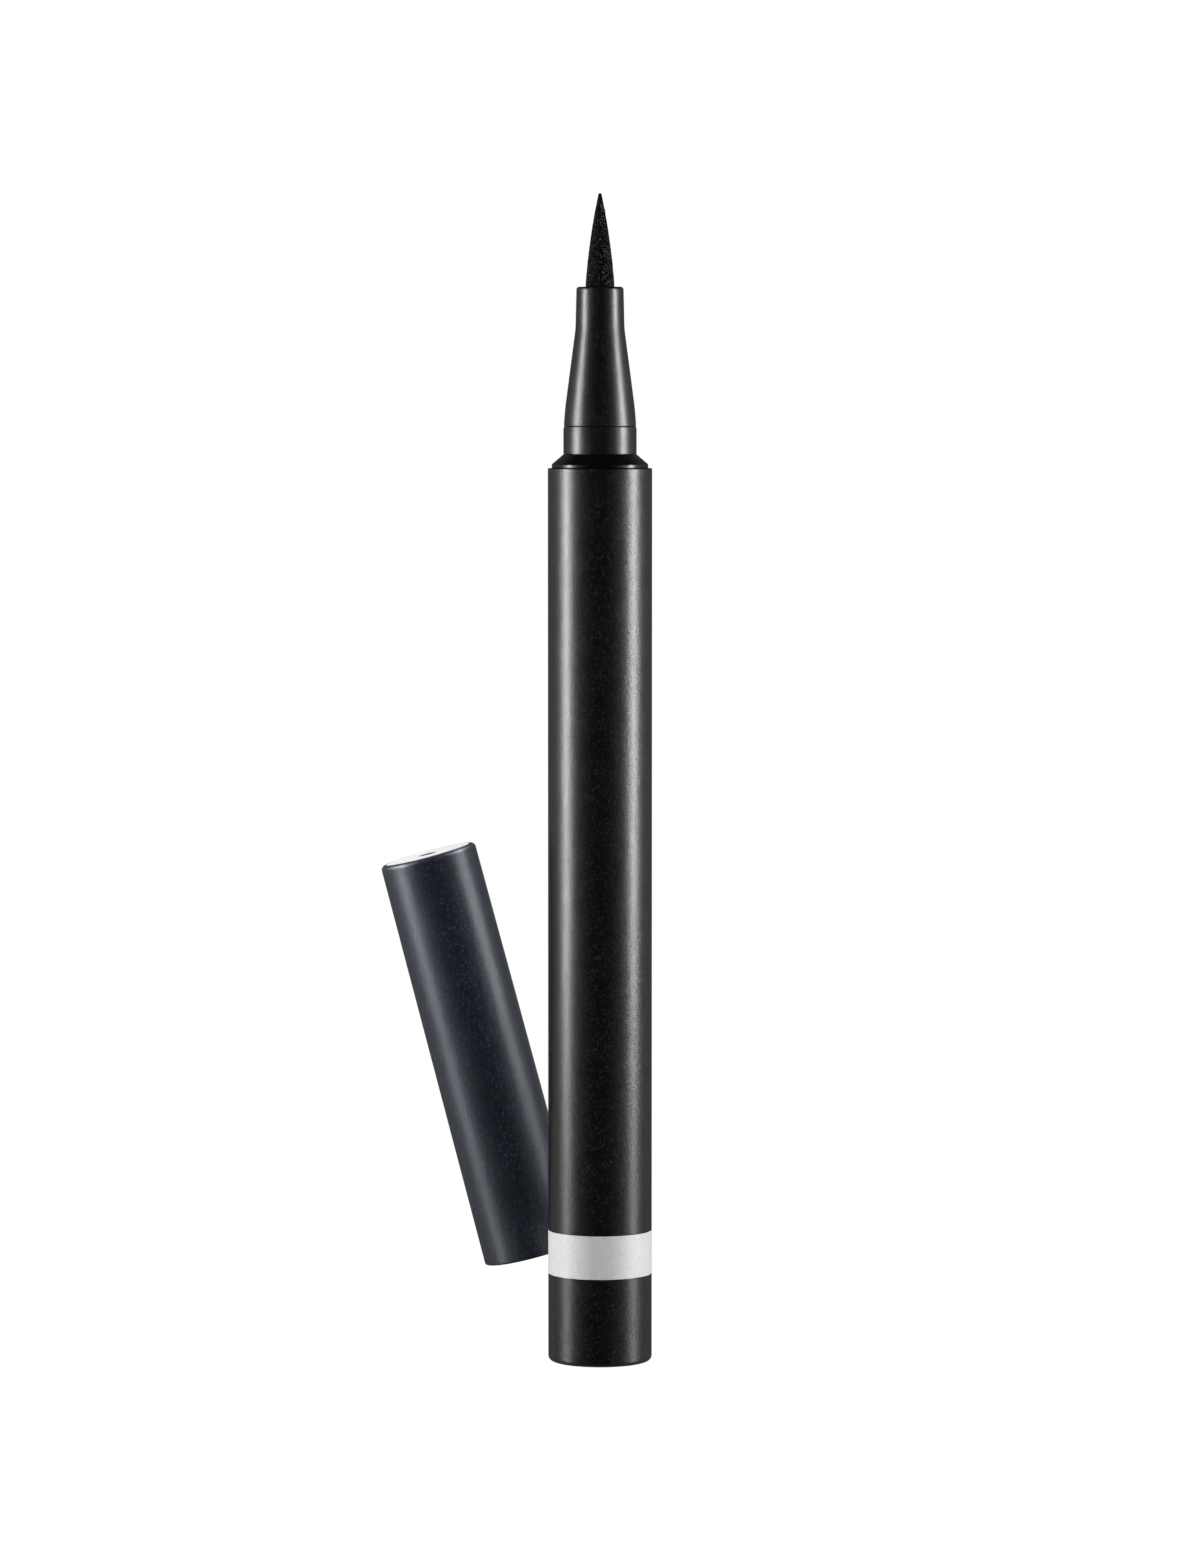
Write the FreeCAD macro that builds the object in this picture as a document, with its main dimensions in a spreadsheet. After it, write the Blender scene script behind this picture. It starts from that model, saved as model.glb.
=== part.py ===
"""Liquid eyeliner pen, standing on its tail with the cap taken off and set behind it.

The pen's axis is +Z and the origin is the centre of the tail face. The cap is drawn upright in its
own frame, mouth at zero and closed end up, and then tilted and set beside the pen by its Placement.
All sizes are in millimetres.
"""

import FreeCAD, Part
import Sketcher
import math
import os

DOCUMENT_NAME = "eyeliner_pen"
SHEET_NAME = "Dims"
PARTS_FOLDER = "parts"
FULL_TURN = 360
MATCH = 1e-4

# Driving dimensions: alias, value, meaning
DIMENSIONS = [
    ("barrel_diameter", 11.0, "outside of the barrel"),
    ("barrel_length", 94.8, "tail face to mouth face"),
    ("barrel_wall", 1.0, "barrel wall thickness"),
    ("tail_edge_radius", 0.55, "rounding of the tail edge"),
    ("mouth_edge_radius", 0.06, "rounding of the barrel's mouth edge"),
    ("band_base", 9.35, "tail face to the lower edge of the shade band"),
    ("band_width", 4.65, "height of the shade band"),
    ("band_thickness", 0.15, "thickness of the shade band, flush in its seat"),
    ("seat_gap", 0.02, "gap drawn between pieces that sit on each other"),
    ("press_gap", 0.04, "radial gap drawn at a press fit"),
    ("plug_length", 8.0, "length of the tail plug"),
    ("plug_wall", 0.9, "wall of the hollow tail plug"),
    ("plug_base", 1.2, "thickness of the plug's face"),
    ("plug_edge", 0.15, "chamfer of the plug's face"),
    ("wrap_thickness", 0.15, "film round the reservoir"),
    ("wrap_air_gap", 0.2, "air gap between film and barrel bore"),
    ("reservoir_end_gap", 0.3, "gap at each end of the reservoir"),
    ("rim_diameter", 10.17, "rim of the collar"),
    ("rim_height", 0.42, "height of the collar's rim"),
    ("rim_edge_radius", 0.12, "rounding of the collar's rim"),
    ("collar_cone_height", 1.05, "height of the collar's cone"),
    ("collar_skirt_length", 8.5, "length of the collar inside the barrel"),
    ("neck_diameter", 7.72, "outside of the neck ring"),
    ("neck_height", 2.95, "height of the neck ring"),
    ("seam_chamfer", 0.07, "edge break on both sides of a seam"),
    ("nozzle_length", 14.65, "seam to the nozzle's top"),
    ("nozzle_swell_height", 2.3, "seam to the start of the straight cone"),
    ("nozzle_swell_diameter", 7.24, "diameter at the start of the straight cone"),
    ("nozzle_swell_radius", 42.0, "radius of the bulge between seam and straight cone"),
    ("nozzle_land_height", 4.39, "nozzle's top down to the end of the straight cone"),
    ("nozzle_land_diameter", 5.16, "diameter at the end of the straight cone"),
    ("nozzle_land_blend", 8.0, "blend radius at the end of the straight cone"),
    ("nozzle_tip_diameter", 4.95, "diameter of the nozzle's top"),
    ("nozzle_tip_radius", 0.3, "rounding of the nozzle's top edge"),
    ("spigot_diameter", 6.0, "nozzle spigot through neck and collar"),
    ("spigot_tail", 2.2, "length of the spigot below the collar"),
    ("spigot_bore_diameter", 4.0, "bore of the spigot"),
    ("spigot_bore_length", 20.0, "depth of the spigot's bore from its end"),
    ("bead_height", 0.18, "height of the snap bead on the spigot"),
    ("bead_width", 0.8, "width of the snap bead on the spigot"),
    ("nib_diameter", 3.05, "nib where it leaves the nozzle"),
    ("nib_length", 9.8, "nozzle top to nib point"),
    ("nib_flank_radius", 73.0, "radius of the nib's bulging flank"),
    ("nib_point_diameter", 0.36, "blunt point of the nib"),
    ("nib_point_radius", 0.14, "rounding of the blunt point"),
    ("nib_grip_length", 6.0, "nib length held by the nozzle"),
    ("nib_gap", 0.04, "radial gap between nib and nozzle"),
    ("stem_diameter", 2.2, "rear stem of the nib"),
    ("stem_gap", 0.1, "radial gap round the stem"),
    ("stem_reach", 12.0, "depth of the stem inside the reservoir"),
    ("slot_count", 4, "air slots in the nozzle's mouth"),
    ("slot_width", 0.5, "width of an air slot"),
    ("slot_depth", 0.35, "depth of an air slot beyond the nib bore"),
    ("cap_length", 44.42, "length of the cap"),
    ("cap_mouth_diameter", 10.85, "outside of the cap at its mouth"),
    ("cap_top_diameter", 10.41, "outside of the cap at its closed end"),
    ("cap_top_radius", 0.5, "rounding of the closed end's edge"),
    ("cap_mouth_radius", 0.2, "rounding of the mouth's outer edge"),
    ("cap_bevel_diameter", 9.9, "mouth of the bevel that lands on the collar"),
    ("cap_grip_gap", 0.1, "radial gap between cap and neck"),
    ("cap_grip_depth", 9.0, "mouth to the end of the grip bore"),
    ("cap_ledge_height", 12.0, "mouth to the ledge that carries the inner cap"),
    ("cap_bore_diameter", 8.6, "bore above the ledge"),
    ("slide_gap", 0.1, "radial gap of the sliding inner cap"),
    ("disc_diameter", 9.2, "end disc"),
    ("disc_thickness", 1.0, "end disc, flush with the closed end"),
    ("disc_skirt_length", 2.0, "skirt under the end disc"),
    ("disc_skirt_wall", 0.45, "wall of the skirt under the end disc"),
    ("vent_diameter", 1.95, "vent hole in the end disc"),
    ("post_diameter", 5.7, "guide post under the end disc"),
    ("post_wall", 0.8, "wall of the guide post"),
    ("lip_drop", 2.2, "lip of the inner cap below the ledge"),
    ("lip_chamfer", 0.3, "lead-in of the inner cap's lip"),
    ("inner_skirt_diameter", 7.2, "inner cap below its flange"),
    ("inner_body_diameter", 7.1, "inner cap above its flange"),
    ("chamber_diameter", 5.9, "chamber that closes round the nib"),
    ("chamber_top", 16.15, "closed end of the cap down to the chamber's roof"),
    ("roof_thickness", 0.9, "roof of the inner cap"),
    ("flange_thickness", 1.2, "flange of the inner cap"),
    ("boss_diameter", 5.7, "spring boss on the inner cap's roof"),
    ("boss_height", 1.5, "height of the spring boss"),
    ("inner_cap_travel", 3.0, "travel of the inner cap into the cap"),
    ("stop_gap", 0.2, "gap left between boss and post at full travel"),
    ("spring_diameter", 6.6, "mean diameter of the spring"),
    ("spring_wire", 0.45, "diameter of the spring's wire"),
    ("spring_turns", 6, "turns of the spring"),
    ("cap_tilt", 14.85, "lean of the cap, degrees"),
    ("cap_rest_gap", 0.25, "gap between the cap's mouth and the barrel it leans behind"),
    ("cap_rest_offset", 7.105, "pen axis to the centre of the cap's mouth, sideways"),
    ("cap_rest_height", 10.38, "tail face to the centre of the cap's mouth"),
]


class Size:
    """A length as an expression on the sheet's cells together with its present value."""

    def __init__(self, text, value):
        self.text = text
        self.value = value

    def joined(self, sign, other, value):
        """Return the Size of two Sizes joined by an arithmetic sign."""
        return Size(f"({self.text} {sign} {other.text})", value)

    def __add__(self, other):
        return self.joined("+", other, self.value + other.value)

    def __sub__(self, other):
        return self.joined("-", other, self.value - other.value)

    def __mul__(self, other):
        return self.joined("*", other, self.value * other.value)

    def __truediv__(self, other):
        return self.joined("/", other, self.value / other.value)

    def half(self):
        """Return half of this length, such as the radius of a diameter."""
        return Size(f"({self.text} / 2)", self.value / 2)

    def other_leg(self, leg):
        """Return the second leg of the right triangle with this long side and a first leg."""
        return Size(f"sqrt({self.text} ^ 2 - {leg.text} ^ 2)", math.sqrt(self.value ** 2 - leg.value ** 2))


class Sizes:
    """The sheet's cells by alias, each as a Size."""

    def __init__(self, sheet):
        for alias, _, _ in DIMENSIONS:
            setattr(self, alias, Size(f"{SHEET_NAME}.{alias}", float(sheet.get(alias))))


class Spot:
    """Numbers that a sketch knows its own axes and the two ends of a side by."""

    HORIZONTAL_AXIS = -1
    VERTICAL_AXIS = -2
    START = 1
    END = 2


class Bulge:
    """The side after a point is an arc of this radius, bulging away from the axis."""

    def __init__(self, radius):
        self.radius = radius


class Blend:
    """The corner at a point is an arc of this radius, tangent to both its sides."""

    def __init__(self, radius):
        self.radius = radius


ON_AXIS = Size("0", 0.0)
BASE = Size("0", 0.0)


def make_sheet(doc):
    """Write the driving dimensions into a spreadsheet, one aliased row each."""
    sheet = doc.addObject("Spreadsheet::Sheet", SHEET_NAME)
    for row, (alias, value, meaning) in enumerate(DIMENSIONS, start=1):
        sheet.set(f"A{row}", meaning)
        sheet.set(f"B{row}", str(value))
        sheet.setAlias(f"B{row}", alias)
    doc.recompute()
    return sheet


def make_body(doc, label):
    """Return an empty body whose label names its file."""
    body = doc.addObject("PartDesign::Body", label)
    body.Label = label
    return body


def make_sketch(body, role, name):
    """Return a sketch on one of the body's own origin planes."""
    planes = [plane for plane in body.Origin.OriginFeatures if plane.Role == role]
    sketch = body.newObject("Sketcher::SketchObject", name)
    sketch.AttachmentSupport = (planes[0], [""])
    sketch.MapMode = "FlatFace"
    return sketch


def bind(sketch, label, size, constraint):
    """Add a constraint and tie its value to a Size."""
    sketch.renameConstraint(sketch.addConstraint(constraint), label)
    sketch.setExpression(f"Constraints.{label}", size.text)


def bind_point(sketch, geometry, name, across, up):
    """Tie the start of a side to its two Sizes, measured from the sketch's origin."""
    places = ((across, "DistanceX", Spot.VERTICAL_AXIS), (up, "DistanceY", Spot.HORIZONTAL_AXIS))
    for size, kind, axis in places:
        if size.text == ON_AXIS.text:
            sketch.addConstraint(Sketcher.Constraint("PointOnObject", geometry, Spot.START, axis))
            continue
        bind(sketch, f"{name}_{kind}", size, Sketcher.Constraint(
            kind, Spot.HORIZONTAL_AXIS, Spot.START, geometry, Spot.START, size.value))


def bind_radius(sketch, geometry, name, radius):
    """Tie the radius of an arc to its Size."""
    bind(sketch, f"{name}_Radius", radius, Sketcher.Constraint("Radius", geometry, radius.value))


def bulging_arc(start, end, radius):
    """Return the arc from start up to end that bulges away from the axis."""
    chord = end - start
    middle = (start + end) / 2
    inward = FreeCAD.Vector(-chord.y, chord.x, 0).normalize()
    centre = middle + inward * math.sqrt(radius ** 2 - (chord.Length / 2) ** 2)
    angles = [math.atan2(p.y - centre.y, p.x - centre.x) for p in (start, end)]
    circle = Part.Circle(centre, FreeCAD.Vector(0, 0, 1), radius)
    return Part.ArcOfCircle(circle, angles[0], angles[1])


def draw_outline(sketch, outline):
    """Draw a closed outline of (across, up) points, some with a Bulge or Blend as a third item."""
    points = [FreeCAD.Vector(across.value, up.value, 0) for across, up, *_ in outline]
    bends = [bend[0] if bend else None for _, _, *bend in outline]
    count = len(outline)
    for index, bend in enumerate(bends):
        start, end = points[index], points[(index + 1) % count]
        if isinstance(bend, Bulge):
            sketch.addGeometry(bulging_arc(start, end, bend.radius.value))
        else:
            sketch.addGeometry(Part.LineSegment(start, end))
    for index in range(count):
        sketch.addConstraint(
            Sketcher.Constraint("Coincident", index, Spot.END, (index + 1) % count, Spot.START))
    for index, (across, up, *_) in enumerate(outline):
        bind_point(sketch, index, f"p{index}", across, up)
        if isinstance(bends[index], Bulge):
            bind_radius(sketch, index, f"p{index}", bends[index].radius)
    for index, bend in enumerate(bends):
        if isinstance(bend, Blend):
            arc = sketch.GeometryCount
            sketch.fillet(index, Spot.START, bend.radius.value, True, True)
            bind_radius(sketch, arc, f"p{index}", bend.radius)


def turned_body(doc, label, outline):
    """Return a body turned about +Z from a closed (radius, height) outline."""
    body = make_body(doc, label)
    sketch = make_sketch(body, "XZ_Plane", f"{label}_outline")
    draw_outline(sketch, outline)
    turn = body.newObject("PartDesign::Revolution", f"{label}_turn")
    turn.Profile = sketch
    turn.ReferenceAxis = (sketch, ["V_Axis"])
    turn.Angle = FULL_TURN
    doc.recompute()
    return body


def ring_edges(shape, rings):
    """Return the names of the circular edges at the given (radius, height) pairs."""
    names = []
    for radius, height in rings:
        for index, edge in enumerate(shape.Edges, start=1):
            curve = edge.Curve
            if not isinstance(curve, Part.Circle):
                continue
            if abs(curve.Radius - radius.value) < MATCH and abs(curve.Center.z - height.value) < MATCH:
                names.append(f"Edge{index}")
    if len(names) != len(rings):
        raise ValueError(f"found {len(names)} of {len(rings)} ring edges")
    return names


def soften(doc, body, kind, size, rings):
    """Add a Fillet or Chamfer of one Size to the body's ring edges."""
    base = body.Tip
    edge = body.newObject(f"PartDesign::{kind}", f"{body.Label}_{kind.lower()}")
    edge.Base = (base, ring_edges(base.Shape, rings))
    edge.setExpression("Radius" if kind == "Fillet" else "Size", size.text)
    body.Tip = edge
    doc.recompute()


def build_barrel(doc, d):
    """Straight tube with a shallow seat for the shade band and a rounded tail edge."""
    outer = d.barrel_diameter.half()
    bore = outer - d.barrel_wall
    seat = outer - d.band_thickness - d.seat_gap
    band_top = d.band_base + d.band_width
    body = turned_body(doc, "barrel", [
        (bore, BASE),
        (outer, BASE),
        (outer, d.band_base),
        (seat, d.band_base),
        (seat, band_top),
        (outer, band_top),
        (outer, d.barrel_length),
        (bore, d.barrel_length),
    ])
    soften(doc, body, "Fillet", d.tail_edge_radius, [(outer, BASE)])
    soften(doc, body, "Fillet", d.mouth_edge_radius, [(outer, d.barrel_length)])


def build_shade_band(doc, d):
    """Thin pale band, flush with the barrel."""
    outer = d.barrel_diameter.half()
    inner = outer - d.band_thickness
    low = d.band_base + d.seat_gap
    high = d.band_base + d.band_width - d.seat_gap
    turned_body(doc, "shade_band", [(inner, low), (outer, low), (outer, high), (inner, high)])


def build_tail_plug(doc, d):
    """Hollow plug pressed flush into the tail."""
    outer = d.barrel_diameter.half() - d.barrel_wall - d.press_gap
    inner = outer - d.plug_wall
    body = turned_body(doc, "tail_plug", [
        (ON_AXIS, BASE),
        (outer, BASE),
        (outer, d.plug_length),
        (inner, d.plug_length),
        (inner, d.plug_base),
        (ON_AXIS, d.plug_base),
    ])
    soften(doc, body, "Chamfer", d.plug_edge, [(outer, BASE)])


def spigot_end(d):
    """Return the height of the nozzle spigot's lower end."""
    return d.barrel_length - d.collar_skirt_length - d.spigot_tail


def wrap_radius(d):
    """Return the outer radius of the reservoir's film."""
    return d.barrel_diameter.half() - d.barrel_wall - d.wrap_air_gap


def build_reservoir(doc, d):
    """Fibre rod with a blind hole for the nib's stem, and the film round it."""
    low = d.plug_length + d.reservoir_end_gap
    high = spigot_end(d) - d.reservoir_end_gap
    film_inner = wrap_radius(d) - d.wrap_thickness
    core = film_inner - d.seat_gap
    hole = d.stem_diameter.half() + d.seat_gap
    hole_floor = high - d.stem_reach - d.reservoir_end_gap
    turned_body(doc, "reservoir_core", [
        (ON_AXIS, low),
        (core, low),
        (core, high),
        (hole, high),
        (hole, hole_floor),
        (ON_AXIS, hole_floor),
    ])
    turned_body(doc, "reservoir_wrap", [
        (film_inner, low),
        (wrap_radius(d), low),
        (wrap_radius(d), high),
        (film_inner, high),
    ])


def collar_top(d):
    """Return the height of the collar's top, where the neck ring stands."""
    return d.barrel_length + d.rim_height + d.collar_cone_height


def seam_height(d):
    """Return the height of the seam between neck ring and nozzle."""
    return collar_top(d) + d.neck_height


def build_collar(doc, d):
    """Bevelled collar: a skirt in the barrel's mouth, a rim on it and a cone up to the neck."""
    skirt = d.barrel_diameter.half() - d.barrel_wall - d.press_gap
    bore = d.spigot_diameter.half() + d.press_gap
    rim = d.rim_diameter.half()
    neck = d.neck_diameter.half()
    skirt_end = d.barrel_length - d.collar_skirt_length
    seat = d.barrel_length + d.seat_gap
    rim_top = d.barrel_length + d.rim_height
    body = turned_body(doc, "collar", [
        (bore, skirt_end),
        (skirt, skirt_end),
        (skirt, seat),
        (rim, seat),
        (rim, rim_top),
        (neck, collar_top(d)),
        (bore, collar_top(d)),
    ])
    soften(doc, body, "Fillet", d.rim_edge_radius, [(rim, rim_top)])


def build_neck_ring(doc, d):
    """Ring between collar and nozzle, the seat that the cap grips."""
    outer = d.neck_diameter.half()
    bore = d.spigot_diameter.half() + d.press_gap
    low = collar_top(d) + d.seat_gap
    high = seam_height(d)
    body = turned_body(doc, "neck_ring", [(bore, low), (outer, low), (outer, high), (bore, high)])
    soften(doc, body, "Chamfer", d.seam_chamfer, [(outer, low), (outer, high)])


def nib_seat(d):
    """Return the height of the step in the nozzle that the nib rests on."""
    return seam_height(d) + d.nozzle_length - d.nib_grip_length


def build_nozzle(doc, d):
    """Tapered nozzle with a stepped bore, a snap-in spigot and air slots at its mouth."""
    base = d.neck_diameter.half()
    swell = d.nozzle_swell_diameter.half()
    land = d.nozzle_land_diameter.half()
    tip = d.nozzle_tip_diameter.half()
    spigot = d.spigot_diameter.half()
    bead = spigot + d.bead_height
    wide_bore = d.spigot_bore_diameter.half()
    stem_bore = d.stem_diameter.half() + d.stem_gap
    nib_bore = d.nib_diameter.half() + d.nib_gap
    end = spigot_end(d)
    seam = seam_height(d) + d.seat_gap
    top = seam_height(d) + d.nozzle_length
    swell_height = seam + d.nozzle_swell_height
    land_height = top - d.nozzle_land_height
    bead_top = d.barrel_length - d.collar_skirt_length - d.press_gap
    bore_end = end + d.spigot_bore_length
    body = turned_body(doc, "nozzle", [
        (wide_bore, end),
        (spigot, end),
        (spigot, bead_top - d.bead_width),
        (bead, bead_top - d.bead_width.half()),
        (spigot, bead_top),
        (spigot, seam),
        (base, seam, Bulge(d.nozzle_swell_radius)),
        (swell, swell_height),
        (land, land_height, Blend(d.nozzle_land_blend)),
        (tip, top),
        (nib_bore, top),
        (nib_bore, nib_seat(d)),
        (stem_bore, nib_seat(d)),
        (stem_bore, bore_end),
        (wide_bore, bore_end),
    ])
    soften(doc, body, "Fillet", d.nozzle_tip_radius, [(tip, top)])
    soften(doc, body, "Chamfer", d.seam_chamfer, [(base, seam)])
    cut_air_slots(doc, body, d, nib_bore, top)


def cut_air_slots(doc, body, d, nib_bore, top):
    """Cut air slots round the nib bore, from the nozzle's mouth down to the nib's step."""
    solid_volume = body.Shape.Volume
    sketch = make_sketch(body, "XY_Plane", "nozzle_slot_outline")
    sketch.setExpression("AttachmentOffset.Base.z", top.text)
    reach = nib_bore + d.slot_depth
    half_width = d.slot_width.half().value
    corners = [(0, half_width), (0, -half_width), (reach.value, -half_width), (reach.value, half_width)]
    points = [FreeCAD.Vector(across, up, 0) for across, up in corners]
    for start, end in zip(points, points[1:] + points[:1]):
        sketch.addGeometry(Part.LineSegment(start, end))
    inner, lower, outer, upper = range(len(points))
    for line, following in ((inner, lower), (lower, outer), (outer, upper), (upper, inner)):
        sketch.addConstraint(Sketcher.Constraint("Coincident", line, Spot.END, following, Spot.START))
    sketch.addConstraint(
        Sketcher.Constraint("Symmetric", inner, Spot.START, inner, Spot.END, Spot.HORIZONTAL_AXIS))
    sketch.addConstraint(Sketcher.Constraint("PointOnObject", inner, Spot.START, Spot.VERTICAL_AXIS))
    sketch.addConstraint(Sketcher.Constraint("Horizontal", lower))
    sketch.addConstraint(Sketcher.Constraint("Vertical", outer))
    sketch.addConstraint(Sketcher.Constraint("Horizontal", upper))
    for kind, line, size, name in (
            ("DistanceX", lower, reach, "slot_reach"), ("DistanceY", outer, d.slot_width, "slot_width")):
        bind(sketch, name, size, Sketcher.Constraint(
            kind, line, Spot.START, line, Spot.END, size.value))
    slot = body.newObject("PartDesign::Pocket", "nozzle_slot")
    slot.Profile = sketch
    slot.setExpression("Length", d.nib_grip_length.text)
    doc.recompute()
    ring = body.newObject("PartDesign::PolarPattern", "nozzle_slots")
    ring.Originals = [slot]
    ring.Axis = (sketch, ["N_Axis"])
    ring.Angle = FULL_TURN
    ring.setExpression("Occurrences", d.slot_count.text)
    body.Tip = ring
    doc.recompute()
    if body.Shape.Volume >= solid_volume:
        raise ValueError("the air slots cut nothing")


def build_nib(doc, d):
    """Bonded fibre nib: bulging point, held cylinder and a thin stem into the reservoir."""
    radius = d.nib_diameter.half()
    stem = d.stem_diameter.half()
    blunt = d.nib_point_diameter.half()
    mouth = seam_height(d) + d.nozzle_length
    point = mouth + d.nib_length
    shoulder = nib_seat(d) + d.seat_gap
    stem_end = spigot_end(d) - d.reservoir_end_gap - d.stem_reach
    body = turned_body(doc, "nib", [
        (ON_AXIS, stem_end),
        (stem, stem_end),
        (stem, shoulder),
        (radius, shoulder),
        (radius, mouth, Bulge(d.nib_flank_radius)),
        (blunt, point),
        (ON_AXIS, point),
    ])
    soften(doc, body, "Fillet", d.nib_point_radius, [(blunt, point)])


def disc_underside(d):
    """Return the height of the end disc's underside in the cap's own frame."""
    return d.cap_length - d.disc_thickness


def chamber_roof(d):
    """Return the height of the chamber's roof in the cap's own frame."""
    return d.cap_length - d.chamber_top


def roof_height(d):
    """Return the height of the inner cap's roof in the cap's own frame."""
    return chamber_roof(d) + d.roof_thickness


def build_cap_shell(doc, d):
    """Slightly tapered cap with a bevelled mouth, a grip bore, a ledge and a seat for the end disc."""
    mouth = d.cap_mouth_diameter.half()
    top = d.cap_top_diameter.half()
    bevel = d.cap_bevel_diameter.half()
    neck = d.neck_diameter.half()
    grip = neck + d.cap_grip_gap
    guide = d.inner_skirt_diameter.half() + d.slide_gap
    bore = d.cap_bore_diameter.half()
    seat = d.disc_diameter.half() + d.press_gap
    bevel_height = (bevel - grip) * d.collar_cone_height / (d.rim_diameter.half() - neck)
    seat_height = disc_underside(d) - d.seat_gap
    body = turned_body(doc, "cap_shell", [
        (bevel, BASE),
        (mouth, BASE),
        (top, d.cap_length),
        (seat, d.cap_length),
        (seat, seat_height),
        (bore, seat_height),
        (bore, d.cap_ledge_height),
        (guide, d.cap_ledge_height),
        (guide, d.cap_grip_depth),
        (grip, d.cap_grip_depth),
        (grip, bevel_height),
    ])
    soften(doc, body, "Fillet", d.cap_top_radius, [(top, d.cap_length)])
    soften(doc, body, "Fillet", d.cap_mouth_radius, [(mouth, BASE)])


def build_cap_end_disc(doc, d):
    """Pale disc that closes the cap, with a vent hole, a skirt and a hollow guide post."""
    disc = d.disc_diameter.half()
    skirt = d.cap_bore_diameter.half() - d.press_gap
    skirt_inner = skirt - d.disc_skirt_wall
    post = d.post_diameter.half()
    post_bore = post - d.post_wall
    vent = d.vent_diameter.half()
    under = disc_underside(d)
    post_end = roof_height(d) + d.boss_height + d.inner_cap_travel + d.stop_gap
    turned_body(doc, "cap_end_disc", [
        (post_bore, post_end),
        (post, post_end),
        (post, under),
        (skirt_inner, under),
        (skirt_inner, under - d.disc_skirt_length),
        (skirt, under - d.disc_skirt_length),
        (skirt, under),
        (disc, under),
        (disc, d.cap_length),
        (vent, d.cap_length),
        (vent, under),
        (post_bore, under),
    ])


def build_inner_cap(doc, d):
    """Thimble that closes round the nib, with a flange on the ledge and a boss for the spring."""
    skirt = d.inner_skirt_diameter.half()
    flange = d.cap_bore_diameter.half() - d.slide_gap
    wall = d.inner_body_diameter.half()
    boss = d.boss_diameter.half()
    chamber = d.chamber_diameter.half()
    lip = d.cap_ledge_height - d.lip_drop
    flange_low = d.cap_ledge_height + d.seat_gap
    flange_high = flange_low + d.flange_thickness
    roof = roof_height(d)
    turned_body(doc, "inner_cap", [
        (chamber + d.lip_chamfer, lip),
        (skirt, lip),
        (skirt, flange_low),
        (flange, flange_low),
        (flange, flange_high),
        (wall, flange_high),
        (wall, roof),
        (boss, roof),
        (boss, roof + d.boss_height),
        (ON_AXIS, roof + d.boss_height),
        (ON_AXIS, chamber_roof(d)),
        (chamber, chamber_roof(d)),
        (chamber, lip + d.lip_chamfer),
    ])


def tangent_arc(start, corner, end):
    """Return the arc from start to end whose end tangents meet at corner."""
    middle = (start + end) / 2
    half_chord = (end - start).Length / 2
    rise = (corner - middle).Length
    sagitta = half_chord * math.tan(math.atan2(rise, half_chord) / 2)
    crest = middle + (corner - middle) * (sagitta / rise)
    return Part.Arc(start, crest, end).toShape()


def biarc(start, start_way, end, end_way):
    """Return two arcs that join two points with the given unit tangents."""
    chord = end - start
    along = chord.dot(start_way + end_way)
    spread = 1 - start_way.dot(end_way)
    reach = (math.sqrt(along ** 2 + 2 * spread * chord.dot(chord)) - along) / (2 * spread)
    first = start + start_way * reach
    second = end - end_way * reach
    middle = (first + second) / 2
    return [tangent_arc(start, first, middle), tangent_arc(middle, second, end)]


def least_turn_gap(edges, turn_length, wire):
    """Return the least gap between points of the path that are over half a turn apart."""
    points_per_arc = 6
    points, places, run = [], [], 0.0
    for edge in edges:
        for step in range(points_per_arc):
            share = step / points_per_arc
            points.append(edge.valueAt(edge.FirstParameter * (1 - share) + edge.LastParameter * share))
            places.append(run + edge.Length * share)
        run += edge.Length
    return min((p - q).Length for i, p in enumerate(points) for j, q in enumerate(points)
               if places[j] - places[i] > turn_length / 2) - wire


def build_spring(doc, d):
    """Coil spring between the inner cap's roof and the end disc, one unbroken wire."""
    steps_per_turn = 4
    radius = d.spring_diameter.value / 2
    wire = d.spring_wire.value
    low = roof_height(d).value + wire / 2 + d.seat_gap.value
    high = disc_underside(d).value - wire / 2 - d.seat_gap.value
    count = int(d.spring_turns.value) * steps_per_turn
    rise = (high - low) / (2 * math.pi * d.spring_turns.value)
    points, ways = [], []
    for step in range(count + 1):
        angle = 2 * math.pi * step / steps_per_turn
        points.append(FreeCAD.Vector(radius * math.cos(angle), radius * math.sin(angle), low + rise * angle))
        ways.append(FreeCAD.Vector(-radius * math.sin(angle), radius * math.cos(angle), rise).normalize())
    edges = []
    for step in range(count):
        edges += biarc(points[step], ways[step], points[step + 1], ways[step + 1])
    path = Part.Wire(edges)
    section = Part.Wire(Part.Circle(points[0], ways[0], wire / 2).toShape())
    shape = path.makePipeShell([section], True, False)
    ideal = math.pi * wire ** 2 / 4 * path.Length
    gap = least_turn_gap(edges, path.Length / d.spring_turns.value, wire)
    share = shape.Volume / ideal
    print(f"spring: least gap to itself {gap:.3f} mm, volume {share:.4f} of section times length")
    spring = doc.addObject("Part::Feature", "inner_cap_spring")
    spring.Label = "inner_cap_spring"
    spring.Shape = shape


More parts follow.
